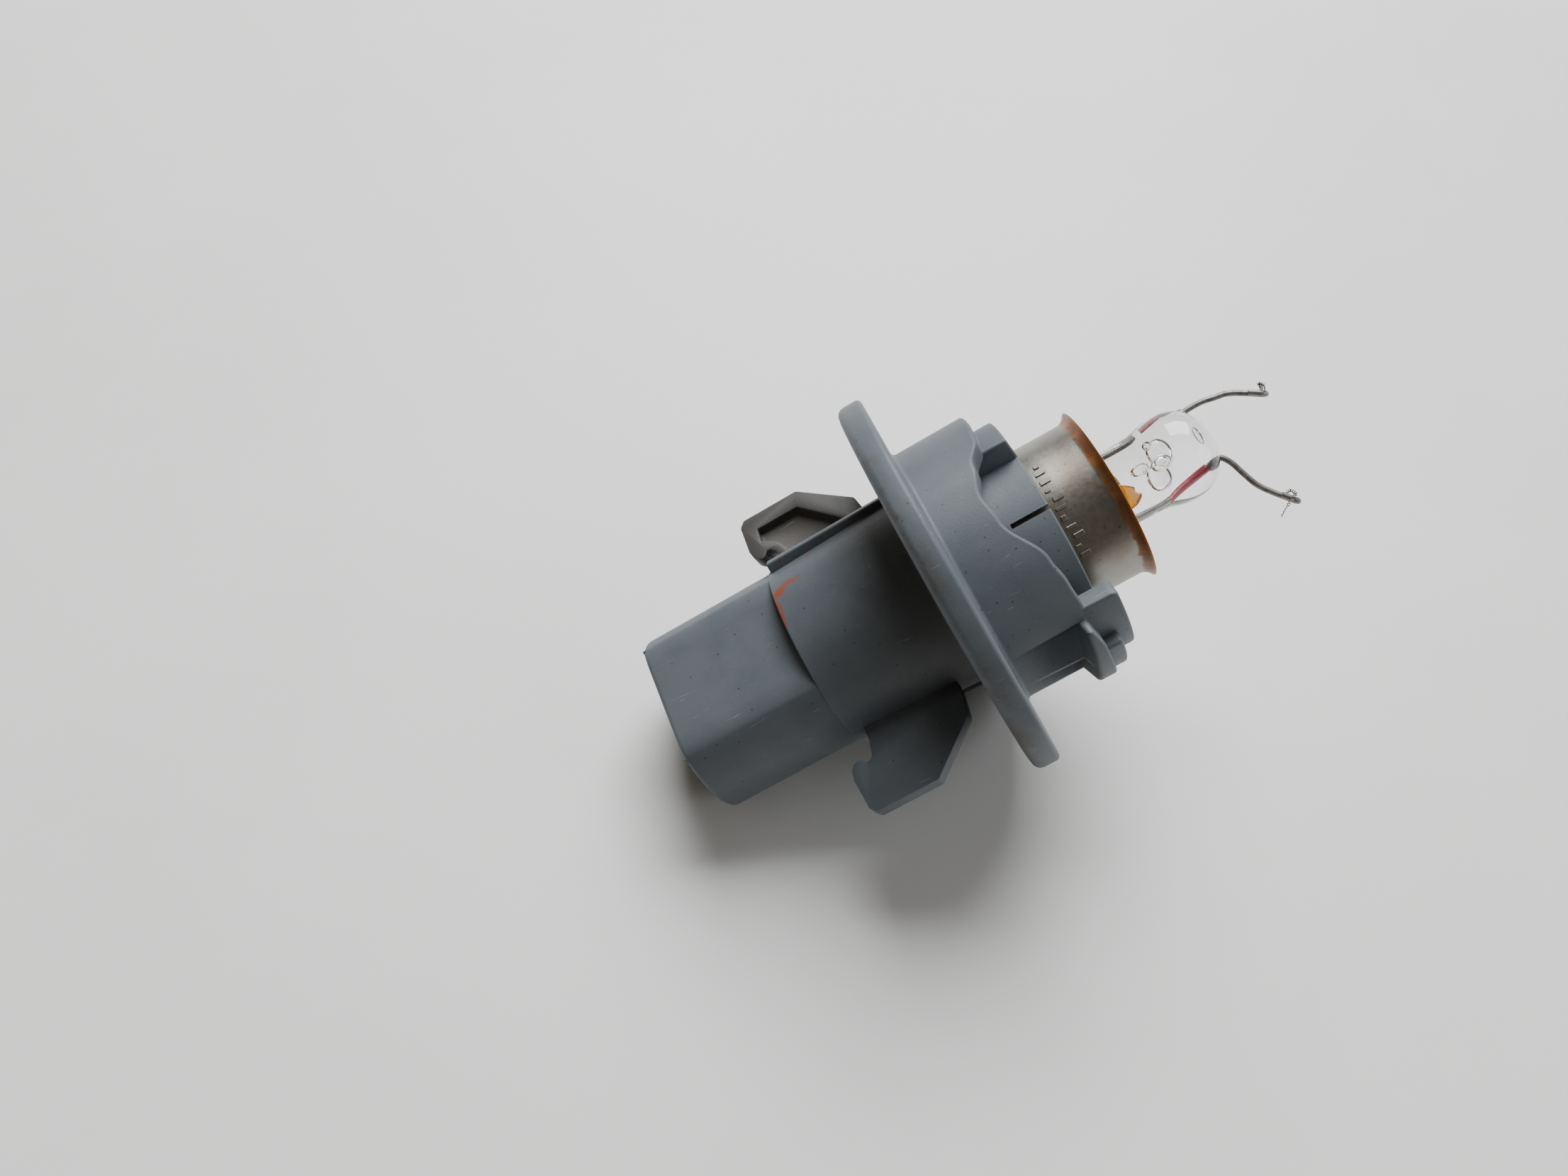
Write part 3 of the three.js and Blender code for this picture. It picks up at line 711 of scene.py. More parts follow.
@dataclass(frozen=True)
class Moulding:
    """Matt blue-grey moulded plastic with dirt, scuffs and rusty smears from use, and painted shade
    by the flange, in the upper wing's pocket and beside the lug's rib.
    """

    base: Colour = (0.074, 0.086, 0.098)
    pale: Colour = (0.100, 0.113, 0.124)
    # This dark colour serves for dirt specks and for painted shade by the flange, in the upper
    # wing's pocket and under the lug's rib.
    grime_and_shade: Colour = (0.020, 0.017, 0.010)
    rust: Colour = (0.200, 0.038, 0.012)
    brown: Colour = (0.055, 0.036, 0.018)
    scuff: Colour = (0.240, 0.250, 0.245)
    roughness: float = 0.52

    def make(self) -> bpy.types.Material:
        """Builds the material."""
        mix = Recipe("grey_moulding")
        broad = mix.noise(0.10, 3, 0.6)
        fine = mix.noise(1.6, 4, 0.65)
        colour = mix.mix(mix.rise(broad, 0.3, 0.7), self.base, self.pale)
        colour = mix.mix(mix.times(mix.rise(fine, 0.5, 0.8), 0.35), colour, self.pale)
        colour = self._soil_and_shade(mix, colour)
        streak = mix.noise(1.4, 2, 0.5, (0.25, 2.2, 2.2), 0.4)
        scratch = mix.times(mix.rise(streak, 0.70, 0.76), 0.35)
        colour = mix.mix(scratch, colour, self.scuff)
        crest = mix.times(
            mix.within(mix.radial, 10.4, 12.75, 0.1), mix.within(mix.axial, 4.6, 8.1, 0.2), 0.45
        )
        wear = mix.times(mix.edges(0.22), mix.rise(fine, 0.30, 0.62), mix.plus(crest, 0.35))
        colour = mix.mix(wear, colour, self.scuff)
        colour = mix.mix(mix.times(mix.specks(0.85, 0.10), 0.75), colour, self.grime_and_shade)
        rough = mix.plus(mix.times(fine, 0.22), self.roughness - 0.1)
        mix.set(Base_Color=colour, Specular_IOR_Level=0.4, Roughness=rough)
        mix.bump(mix.plus(mix.noise(5.0, 3, 0.6), mix.times(scratch, -1.5)), 0.012)
        return mix.material

    def _soil_and_shade(self, mix: Recipe, colour: bpy.types.NodeSocket) -> bpy.types.NodeSocket:
        """Lays the dirt, the painted shade and the rusty marks over the plain plastic.

        Args:
            mix: The material's recipe.
            colour: The plain plastic's colour.

        Returns:
            The soiled and shaded colour.
        """
        # The barrel darkens towards the flange: dirt, and painted shade where the overhanging
        # flange shades the barrel.
        near = mix.rise(mix.plus(mix.axial, mix.uneven(5.0, 0.45, 5, 0.62, 7)), -12.0, -3.2)
        soot_and_shade = (near, mix.rise(mix.axial, -2.2, -2.7), mix.rise(mix.radial, 10.6, 9.9))
        # The floor of the upper wing's pocket is darkened: painted shade of the recess.
        pocket_shade = (
            mix.within(mix.axial, -15.3, -6.9, 0.15), mix.within(mix.across, 10.6, 14.4, 0.15),
            mix.within(mix.height, -0.1, 0.75, 0.12),
        )
        blotch = mix.rise(mix.noise(0.22, 5, 0.7, shift=3), 0.46, 0.66)
        stain = (mix.rise(mix.radial, 17.9, 18.5), mix.rise(mix.axial, -0.5, -1.9), blotch)
        # Beside the lower end of the lug's rib: dirt, and painted shade under the rib's overhang.
        rib_dirt_and_shade = (mix.patch((5.7, 99.0), (1.1, 13.0)), mix.rise(mix.radial, 12.2, 12.5))
        dusty = (mix.rise(mix.across, 9.6, 10.4), mix.rise(mix.axial, -3.5, -4.5))
        for marks, share, over in (
            (soot_and_shade, 0.62, self.grime_and_shade), (pocket_shade, 0.25, self.grime_and_shade), (stain, 0.55, self.brown),
            (rib_dirt_and_shade, 0.75, self.grime_and_shade), (dusty, 0.55, self.brown),
        ):
            colour = mix.mix(mix.times(*marks, share), colour, over)
        warp = mix.uneven(3.4, 0.9, 4, 0.7, 11)
        for middle, half, share in (
            ((-14.5, -21.0), (0.9, 4.5), 0.9), ((-13.3, -25.0), (1.2, 2.2), 0.8),
            ((-15.05, -9.0), (0.35, 12.0), 0.75), ((-10.9, -40.5), (0.35, 1.6), 0.7),
        ):
            colour = mix.mix(mix.times(mix.patch(middle, half, warp), share), colour, self.rust)
        return colour


@dataclass(frozen=True)
class Plating:
    """Dull plated brass, stained and speckled by damp."""

    name: str
    base: Colour
    tint: Colour
    roughness: float = 0.34
    blotch: float = 0.18
    lacquer: bool = False
    spots: Colour = (0.07, 0.055, 0.035)
    burnt: Colour = (0.22, 0.075, 0.020)
    honey: Colour = (0.36, 0.14, 0.035)
    lip: Colour = (0.62, 0.20, 0.02)

    def make(self) -> bpy.types.Material:
        """Builds the material."""
        mix = Recipe(self.name)
        broad = mix.noise(self.blotch, 4, 0.6, shift=5)
        colour = mix.mix(mix.rise(broad, 0.35, 0.7), self.base, self.tint)
        dots = mix.times(mix.specks(1.3, 0.14, 4), mix.rise(broad, 0.45, 0.6), 0.7)
        colour = mix.mix(dots, colour, self.spots)
        rough = mix.plus(mix.times(mix.noise(2.4, 3, 0.6), 0.2), self.roughness - 0.1)
        metal: Input = 1.0
        if self.lacquer:
            colour, metal = self._lacquered(mix, colour)
        mix.set(Base_Color=colour, Roughness=rough, Metallic=metal)
        mix.bump(mix.noise(3.0, 4, 0.6), 0.006)
        return mix.material

    def _lacquered(
        self, mix: Recipe, colour: bpy.types.NodeSocket
    ) -> tuple[bpy.types.NodeSocket, bpy.types.NodeSocket]:
        """Lays burnt lacquer over the cap's lip.

        Args:
            mix: The material's recipe.
            colour: The plain plating's colour.

        Returns:
            The colour, and how metallic it is.
        """
        edge = mix.plus(mix.axial, mix.uneven(1.1, 0.8, 4, 0.65))
        band = mix.rise(edge, 14.15, 14.45)
        cloud = mix.rise(mix.noise(0.5, 3, shift=2), 0.4, 0.65)
        deep = mix.mix(cloud, self.burnt, self.honey)
        deep = mix.mix(mix.rise(mix.axial, 14.95, 15.12), deep, self.lip)
        return mix.mix(band, colour, deep), mix.minus(1.0, mix.times(band, 0.85))


@dataclass(frozen=True)
class Glass:
    """Clear or amber glass with faint ripples, and dull grey broken edges where it has any."""

    name: str
    colour: Colour
    ripple: float = 0.01
    broken_from: float | None = None
    clear: float = 1.0

    def make(self) -> bpy.types.Material:
        """Builds the material."""
        mix = Recipe(self.name)
        mix.set(Transmission_Weight=self.clear, IOR=1.5)
        smears = mix.rise(mix.noise(0.35, 3, 0.6, shift=9), 0.45, 0.75)
        rough: Input = mix.times(smears, 0.06)
        dim = tuple(0.93 * part for part in self.colour)
        colour: Input = mix.mix(smears, self.colour, dim)
        if self.broken_from is not None:
            ragged = mix.times(mix.noise(1.2, 3, 0.6), 1.2)
            edge = mix.plus(mix.axial, ragged)
            edge = mix.rise(edge, self.broken_from, self.broken_from + 0.7)
            colour = mix.mix(mix.times(edge, 0.5), colour, (0.60, 0.42, 0.34))
            rough = mix.plus(rough, mix.times(edge, 0.25))
        mix.set(Base_Color=colour, Roughness=rough)
        mix.bump(mix.noise(0.5, 2, 0.5, (0.6, 1, 1)), self.ripple)
        return mix.material


@dataclass(frozen=True)
class Wire:
    """Drawn wire with a mottled oxide."""

    name: str
    base: Colour
    oxide: Colour
    metallic: float = 0.8
    roughness: float = 0.42

    def make(self) -> bpy.types.Material:
        """Builds the material."""
        mix = Recipe(self.name)
        mottle = mix.noise(1.8, 4, 0.65, (1, 1, 1), 0.5)
        mix.set(
            Base_Color=mix.mix(mix.rise(mottle, 0.38, 0.66), self.base, self.oxide),
            Roughness=mix.plus(mix.times(mottle, 0.25), self.roughness - 0.12),
            Metallic=self.metallic,
        )
        mix.bump(mix.noise(6.0, 3, 0.6), 0.008)
        return mix.material


@dataclass(frozen=True)
class Dull:
    """Dull board, cement, black glass or a bench: one colour with a mottle and a grain."""

    name: str
    base: Colour
    mottle: Colour
    roughness: float
    grain: float
    scale: float = 1.0

    def make(self) -> bpy.types.Material:
        """Builds the material."""
        mix = Recipe(self.name)
        cloud = mix.noise(0.4 * self.scale, 4, 0.6)
        mix.set(
            Base_Color=mix.mix(mix.rise(cloud, 0.35, 0.65), self.base, self.mottle),
            Roughness=mix.plus(mix.times(cloud, 0.1), self.roughness - 0.05),
        )
        mix.bump(mix.noise(3.0 * self.scale, 4, 0.6), self.grain)
        return mix.material


# ------------------------------------------------------------------ the moulded holder
@dataclass
class Holder:
    """The moulding: flange, cam collar, sleeve, barrel, connector shroud, wings and locking lug."""

    bore: float = 7.825
    sleeve: float = 8.7
    sleeve_front: float = 9.4
    collar_inner: float = 10.62
    collar_outer: float = 12.57
    moat_floor: float = 4.2
    crest: float = 7.2
    flange: float = 18.62
    flange_back: float = -2.47
    barrel_root: float = 9.29
    barrel_tip: float = 8.86
    barrel_end: float = -15.16
    shroud_end: float = -28.72
    shroud_half: float = 7.0
    shroud_wall: float = 1.2
    partition: Point = (-15.41, -13.41)
    cam: Sequence[Point] = (
        (-90, 7.2), (-40, 7.2), (-24, 6.85), (-12, 5.6), (2, 4.8), (14, 5.1), (36, 7.1), (47, 7.5),
        (60, 7.7), (90, 7.2),
    )
    entries: Point = (-44.0, -194.0)
    lock_turn: float = 25
    pin_gap: float = 18.15
    lug_clock: float = 82
    lug_spread: float = 44
    lug_root: float = 3.9
    lug_front: float = 10.6
    ramp: Sequence[Place] = ((65, 6.5, 7.3), (75, 6.1, 7.8), (105, 5.3, 8.0))
    wing: Sequence[Point] = (
        (-4.65, 10.0), (-5.1, 12.4), (-9.9, 16.3), (-15.9, 16.3), (-16.5, 15.7), (-16.7, 12.8),
        (-16.5, 11.9), (-16.1, 11.45), (-15.6, 11.35), (-15.3, 11.6), (-15.05, 11.9),
        (-14.65, 11.85), (-14.3, 11.5), (-14.1, 10.9), (-13.95, 10.2),
    )
    pocket: Sequence[Point] = (
        (-6.7, 10.6), (-10.5, 14.6), (-15.0, 14.6), (-15.15, 13.2), (-14.7, 13.0), (-14.1, 12.65),
        (-13.6, 12.1), (-13.25, 11.4), (-13.1, 10.6),
    )

    def cam_height(self, clock: float) -> float:
        """How far the collar's edge stands above the flange at a clock angle, in millimetres."""
        folded = (clock + 90) % 180 - 90
        for (a, low), (b, high) in zip(self.cam, self.cam[1:]):
            if a <= folded <= b:
                share = (folded - a) / (b - a)
                return low + (high - low) * share * share * (3 - 2 * share)
        return self.crest

    def core(self) -> bpy.types.Object:
        """Spins the flange, collar, moat, sleeve and barrel, and shapes the collar's edge."""
        start = (self.partition[1], 0.0, 0.0)
        profile = rounded([
            start,
            (self.partition[1], self.bore, 0.3),
            (self.sleeve_front, self.bore, 0.12),
            (self.sleeve_front, self.sleeve, 0.2),
            (self.moat_floor, self.sleeve, 0.25),
            (self.moat_floor, self.collar_inner, 0.25),
            (self.crest, self.collar_inner, 0.28),
            (self.crest, self.collar_outer, 0.32),
            (0.0, self.collar_outer, 0.45),
            (0.0, self.flange, 0.45),
            (self.flange_back, self.flange, 0.8),
            (self.flange_back, self.barrel_root + 0.03, 0.5),
            (self.barrel_end, self.barrel_tip, 0.16),
            (self.barrel_end, 0.0, 0.0),
        ])
        piece = spin_round("holder_moulding", profile, steps=180)
        self._shape_cam(piece)
        return piece

    def _shape_cam(self, piece: bpy.types.Object) -> None:
        """Moves the collar's front edge, column by column, to the cam's height."""

        def lift(x: float, radius: float, clock: float) -> float:
            """Says how far a corner moves along the axis."""
            in_wall = self.collar_inner - 0.01 < radius < self.collar_outer + 0.01
            if in_wall and x > self.crest - 0.6:
                return self.cam_height(clock) - self.crest
            return 0.0

        slide_corners(piece, lift)

    def _ramp_ends(self, clock: float) -> Point:
        """Gives the lug ramp's rear and front edges at a clock angle."""
        for (a, *low), (b, *high) in zip(self.ramp, self.ramp[1:]):
            if clock <= b or b == self.ramp[-1][0]:
                share = min(max((clock - a) / (b - a), 0.0), 1.0)
                return tuple(here + (there - here) * share for here, there in zip(low, high))
        return self.ramp[-1][1:]

    def double_d(
        self, name: str, radius: float, half: float, low: float, high: float, round_edges: float
    ) -> bpy.types.Object:
        """Makes a bar with two round sides and two flats.

        Args:
            name: The piece's name.
            radius: The round sides' radius.
            half: How far the flats stand from the axis.
            low: Its rear end.
            high: Its front end.
            round_edges: The rounding of its long edges.

        Returns:
            The bar.
        """
        reach = math.degrees(math.asin(half / radius))
        outline: list[Place] = []
        for side in (1, -1):
            for step in range(25):
                angle = math.radians(side * (reach - 2 * reach * step / 24))
                outline.append((low, side * radius * math.cos(angle), radius * math.sin(angle)))
        piece = raise_outline(name, outline, (high - low, 0, 0))
        return soften(piece, round_edges, 4, 28) if round_edges else piece

    def _round_shroud(self, shroud: bpy.types.Object) -> None:
        """Rounds the long edges between flats and round sides widely, and the rear rim a little."""
        use_only(shroud)
        bpy.ops.object.mode_set(mode="EDIT")
        edge_y = math.sqrt((self.barrel_tip - 0.12) ** 2 - self.shroud_half**2)

        def on_long_edge(place: Vector) -> bool:
            """Says whether an edge's middle lies where a flat meets a round side."""
            near = abs(abs(place.y) - edge_y) < 0.02 and abs(abs(place.z) - self.shroud_half) < 0.02
            return near and self.shroud_end + 1 < place.x < -14.5

        choose("edges", on_long_edge)
        bpy.ops.mesh.bevel(offset=1.5 * MM, segments=8, affect="EDGES")
        choose("edges", lambda place: abs(place.x - self.shroud_end) < 0.01)
        bpy.ops.mesh.bevel(offset=0.5 * MM, segments=4, affect="EDGES")
        end_edit(shroud)

    def finger_wing(self) -> bpy.types.Object:
        """Makes the wing at +Y, with its pocket in the upper face."""
        root = self.bore + 0.55
        outline = [(self.wing[0][0], root), *self.wing, (self.wing[-1][0], root)]
        piece = raise_outline("wing", [(x, y, -1.0) for x, y in outline], (0, 0, 2.0))
        pocket = raise_outline("pocket", [(x, y, 0.1) for x, y in self.pocket], (0, 0, 2.0))
        combine(piece, pocket, Cut.TAKE)
        return soften(piece, 0.18, 2, 25)

    def lug(self) -> bpy.types.Object:
        """Makes the locking lug: a tower on the collar, with a rib and a bump on its outside."""
        inner, outer = self.collar_inner, self.collar_outer
        root, tip = self.lug_root, self.lug_front
        outline = [(root, inner), (tip, inner), (tip, outer), (root, outer)]
        tower = spin_part("lug", outline, self.lug_clock, self.lug_spread, 22)
        self._round_tower(tower)
        rear, front = self.ramp[-1][1:]
        rib = spin_part(
            "rib",
            [(rear, outer - 0.6), (front, outer - 0.6), (front, 14.3), (rear + 0.9, 14.3)],
            85, 40, 20,
        )

        def follow_ramp(x: float, radius: float, clock: float) -> float:
            """Says how far a corner of the rib moves along the axis."""
            low, high = self._ramp_ends(clock)
            return low + (x - rear) / (front - rear) * (high - low) - x

        slide_corners(rib, follow_ramp)
        soften(rib, 0.55, 5, 30)
        bump = spin_part(
            "bump", [(7.4, outer - 0.6), (9.3, outer - 0.6), (9.3, 13.8), (7.4, 13.8)], 92.5, 25, 14
        )
        soften(bump, 0.35, 4, 40)
        combine(tower, rib, Cut.ADD)
        combine(tower, bump, Cut.ADD)
        return tower

    def _round_tower(self, tower: bpy.types.Object) -> None:
        """Rounds the tower's two front corners widely, and its other edges a little."""
        use_only(tower)
        bpy.ops.object.mode_set(mode="EDIT")
        middle = (self.collar_inner + self.collar_outer) / 2
        corners = []
        for half in (-self.lug_spread / 2, self.lug_spread / 2):
            angle = math.radians(self.lug_clock + half)
            across, height = -middle * math.sin(angle), middle * math.cos(angle)
            corners.append(Vector((self.lug_front, across, height)))
        choose("edges", lambda place: any((place - corner).length < 0.15 for corner in corners))
        bpy.ops.mesh.bevel(offset=0.7 * MM, segments=5, affect="EDGES")
        end_edit(tower)
        soften(tower, 0.25, 3, 40)

    def hood(self, clock: float) -> bpy.types.Object:
        """Makes the slanted cover over an entry channel, at a clock angle."""
        outer = self.sleeve + 2.2
        piece = spin_part(
            "hood",
            [(3.9, 8.3), (9.4, 8.3), (9.4, self.sleeve), (9.1, outer), (3.9, outer)],
            clock + 4, 32, 14,
        )
        return soften(piece, 0.22, 3, 35)

    def ridge(self) -> bpy.types.Object:
        """Makes the barrel's long rib."""
        rib = spin_part(
            "barrel_rib", [(-14.8, 8.1), (-1.0, 8.1), (-1.0, 10.0), (-14.8, 9.9)], -52.5, 9, 6
        )
        return soften(rib, 0.25, 3, 40)

    def _bore_tools(self) -> list[bpy.types.Object]:
        """Makes the tool solids for the connector cavity, tracks, groove, slit and slots."""
        wall = self.shroud_wall
        tools = [self.double_d(
            "cavity", self.barrel_tip - 0.12 - wall, self.shroud_half - wall,
            self.shroud_end - 1, self.partition[0], 0.4,
        )]
        for entry in self.entries:
            for clock, spread, low, high in (
                (entry - self.lock_turn / 2, self.lock_turn + self.pin_gap, -0.11, 3.79),
                (entry, self.pin_gap, -0.11, 10.4),
            ):
                outline = [(low, 6.8), (high, 6.8), (high, 8.8), (low, 8.8)]
                tools.append(spin_part("track", outline, clock, spread, 16))
        tools.append(add_block("groove", (-13.45, -8.455, -1.5), (1.4, -6.8, 1.5)))
        slit = add_block("slit", (5.8, -0.225, 6.8), (10.4, 0.225, 9.0))
        tools.append(turn(slit, 15.0))
        for side in (-1, 1):
            tools.append(add_block(
                "blade_slot", (-16.4, side * 4.4 - 0.7, -3.45), (-12.4, side * 4.4 + 0.7, 3.45)
            ))
        return tools

    def build(self, finish: Moulding) -> bpy.types.Object:
        """Joins the whole moulding into one piece and lays it down.

        Args:
            finish: The moulding's finish.

        Returns:
            The moulding, riding on the holder's body.
        """
        piece = self.core()
        shroud = self.double_d(
            "shroud", self.barrel_tip - 0.12, self.shroud_half, self.shroud_end, -13.9, 0.0
        )
        self._round_shroud(shroud)
        combine(piece, shroud, Cut.ADD)
        parts = [self.finger_wing(), self.ridge()]
        for part in list(parts):
            parts.append(copy_turned(part, 180))
        parts += [self.lug(), *(self.hood(clock) for clock in self.entries)]
        for part in parts:
            combine(piece, part, Cut.ADD)
        for tool in self._bore_tools():
            combine(piece, tool, Cut.TAKE)
        return lay_down(piece, Body.HOLDER, finish.make(), 30, ["holder_body"])


@dataclass
class SprungContact:
    """The spring behind the bulb's centre contact, wound at its rest length; it is not shortened
    here when the bulb is pushed in.
    """

    radius: float = 2.9
    wire: float = 0.3
    turns: float = 4.5
    rear: float = -11.41
    front: float = -6.91

    def build(self, finish: Wire) -> tuple[bpy.types.Object, Vector]:
        """Winds the spring and lays it down.

        Args:
            finish: The steel's finish.

        Returns:
            The spring, and the place that it is squashed towards.
        """
        line = []
        count = int(self.turns * 24)
        for step in range(count + 1):
            angle = math.tau * step / 24
            place = self.rear + (self.front - self.rear) * step / count
            line.append(Vector((
                place, self.radius * math.cos(angle), self.radius * math.sin(angle)
            )))
        piece = draw_wire("contact_coil", line, self.wire)
        lay_down(piece, Body.HOLDER, finish.make(), 60, ["contact_spring"])
        # Open fault: the matrix takes metres and this place is in millimetres, so the spring is
        # thrown far away when the bulb is pushed in.
        return piece, AXIS.matrix @ Vector((self.rear - self.wire, 0, 0))


# ------------------------------------------------------------------ the bulb
@dataclass
class BulbCap:
    """The bulb's plated cap: a thin drawn cup with a flared, lacquered lip and raised marks."""

    radius: float = 7.575
    wall: float = 0.4
    back: float = -0.91
    rim: float = 15.19
    flare: float = 0.725
    mouth: float = 6.0
    pins: Point = (-69.0, -219.0)
    pin_place: float = 2.59

    def _cup(self) -> bpy.types.Object:
        """Spins the cup, with its rounded shoulder and rolled lip."""
        outer = [(self.back, self.mouth)]
        for step in range(7):
            angle = math.radians(90 - 15 * step)
            outer.append((
                self.back + 0.7 * (1 - math.sin(angle)), self.radius - 0.7 * (1 - math.cos(angle))
            ))
        for place, lift in ((9.2, 0.0), (9.5, 0.02), (11.0, 0.02), (11.3, 0.0)):
            outer.append((place, self.radius + lift))
        flare = []
        for step in range(9):
            share = step / 8
            flare.append((self.rim - 1.1 * (1 - share), self.radius + self.flare * share * share))
        tip_x, tip_r = flare[-1]
        lip = [(tip_x - 0.02, tip_r - 0.06), (tip_x, tip_r - 0.2), (tip_x - 0.06, tip_r - 0.34)]
        inner = [(x - 0.02, r - self.wall) for x, r in reversed(flare[:-1])]
        profile = [*outer, *flare[:-1], (tip_x - 0.05, tip_r), *lip, *inner]
        profile += [
            (self.back + self.wall + 0.3, self.radius - self.wall),
            (self.back + self.wall, self.radius - self.wall - 0.3),
            (self.back + self.wall, self.mouth), (self.back, self.mouth),
        ]
        return spin_round("bayonet_cap", profile, steps=160)

    def _marks(self) -> list[bpy.types.Object]:
        """Makes a row of plain raised strokes, which stand for no letters."""
        marks = []
        for i in range(11):
            length = 0.95 if i % 3 else 0.5
            low = 9.75 if i % 4 else 10.0
            mark = spin_part(
                "stroke",
                [(low, 7.3), (low + length, 7.3), (low + length, 7.70), (low, 7.70)],
                -16 + 6.8 * i, 2.0 if i % 2 else 3.4, 2,
            )
            marks.append(soften(mark, 0.05, 1, 40))
        return marks

    def build(self, finish: Plating) -> bpy.types.Object:
        """Makes the cap with its pin holes and lays it down.

        Args:
            finish: The plating.

        Returns:
            The cap, riding on the bulb.
        """
        piece = self._cup()
        for clock in self.pins:
            drill = start_piece(
                "drill", bpy.ops.mesh.primitive_cylinder_add, vertices=32, radius=1.2 * MM,
                depth=4 * MM, location=(self.pin_place * MM, 0, 7.5 * MM),
            )
            combine(piece, turn(settle(drill), clock), Cut.TAKE)
        for mark in self._marks():
            combine(piece, mark, Cut.ADD)
        return lay_down(piece, Body.BULB, finish.make(), 35, ["cap_shell"])


@dataclass
class BulbGlass:
    """The broken envelope's stub with one standing shard, and the clear stem inside it."""

    outer: float = 6.175
    wall: float = 0.7
    stub_back: float = 8.6
    stub_rim: float = 14.5
    shard: Sequence[Point] = ((18, 0.0), (24, 1.1), (31, 1.9), (38, 2.25), (44, 1.5), (47, 0.0))

    def _shard_height(self, clock: float) -> float:
        """How far the broken edge stands above the plain stub at a clock angle."""
        ragged = 0.28 * math.sin(clock * 0.31) + 0.20 * math.sin(clock * 0.83 + 1.1)
        for (a, low), (b, high) in zip(self.shard, self.shard[1:]):
            if a <= clock <= b:
                return low + (high - low) * (clock - a) / (b - a) + 0.3 * ragged
        return ragged - 0.3

    def stub(self, finish: Glass) -> bpy.types.Object:
        """Makes the stub and breaks its edge to a ragged line with one shard."""
        inner = self.outer - self.wall
        profile = [
            (self.stub_back, inner), (self.stub_back, self.outer), (self.stub_rim, self.outer),
            (self.stub_rim + 0.12, self.outer - 0.3), (self.stub_rim, inner),
            (self.stub_back, inner),
        ]
        piece = spin_round("amber_stub", profile, steps=180)

        def snap(x: float, radius: float, clock: float) -> float:
            """Says how far a corner of the broken edge moves along the axis."""
            if x < self.stub_rim - 0.1:
                return 0.0
            return self._shard_height(clock) + 0.25 * math.sin(clock * 0.5) * (radius - inner)

        slide_corners(piece, snap)
        return lay_down(piece, Body.BULB, finish.make(), 25, ["envelope_stub"])

    def stem(self, finish: Glass) -> bpy.types.Object:
        """Spins the hollow stem: a skirt, a neck and a round head with bubbles at its pinch."""
        outside = [(9.2, 5.175), (9.8, 5.175)]
        for step in range(1, 9):
            share = step / 8
            blend = share * share * (3 - 2 * share)
            outside.append((9.8 + 3.2 * share, 5.175 - 1.575 * blend))
        outside += [
            (16.0, 3.6), (18.2, 3.61), (18.8, 3.66), (19.4, 3.78), (20.0, 3.95), (20.6, 4.08),
            (21.2, 4.14), (21.8, 4.15), (22.4, 4.10), (22.9, 3.98), (23.4, 3.78), (23.8, 3.53),
            (24.2, 3.18), (24.55, 2.75), (24.85, 2.25), (25.08, 1.7), (25.23, 1.1), (25.31, 0.5),
            (25.33, 0.0),
        ]
        inside = [
            (16.4, 0.0), (16.35, 0.7), (16.1, 1.4), (15.7, 2.0), (15.1, 2.5), (14.4, 2.8),
            (13.6, 2.9), (12.8, 2.9), (11.6, 3.4), (10.4, 4.2), (9.2, 4.475),
        ]
        piece = spin_round("stem_glass", [*inside, *outside], steps=96)
        for middle, size in (
            ((20.55, 0.75, 1.1), (1.05, 1.10, 0.55)), ((19.55, -0.70, 1.0), (1.15, 1.00, 0.50)),
            ((20.10, 0.10, 2.2), (0.95, 0.60, 0.40)), ((19.90, 1.70, 1.6), (0.45, 0.38, 0.35)),
            ((18.30, 0.40, 1.4), (0.90, 0.45, 0.40)), ((23.55, 0.60, 2.3), (0.28, 0.75, 0.16)),
        ):
            combine(piece, add_oval("bubble", Vector(middle), 1, size, 32, 20), Cut.TAKE)
        turn(piece, 25)
        return lay_down(piece, Body.BULB, finish.make(), 60, ["glass_stem"])

    def tube(self, finish: Glass) -> bpy.types.Object:
        """Spins the exhaust tube inside the stem."""
        profile = [(5.6, 0.7), (5.6, 1.2), (15.4, 1.2), (15.7, 1.05), (15.4, 0.7), (5.6, 0.7)]
        piece = spin_round("exhaust_pipe", profile, steps=48)
        return lay_down(piece, Body.BULB, finish.make(), 60, ["exhaust_tube"])


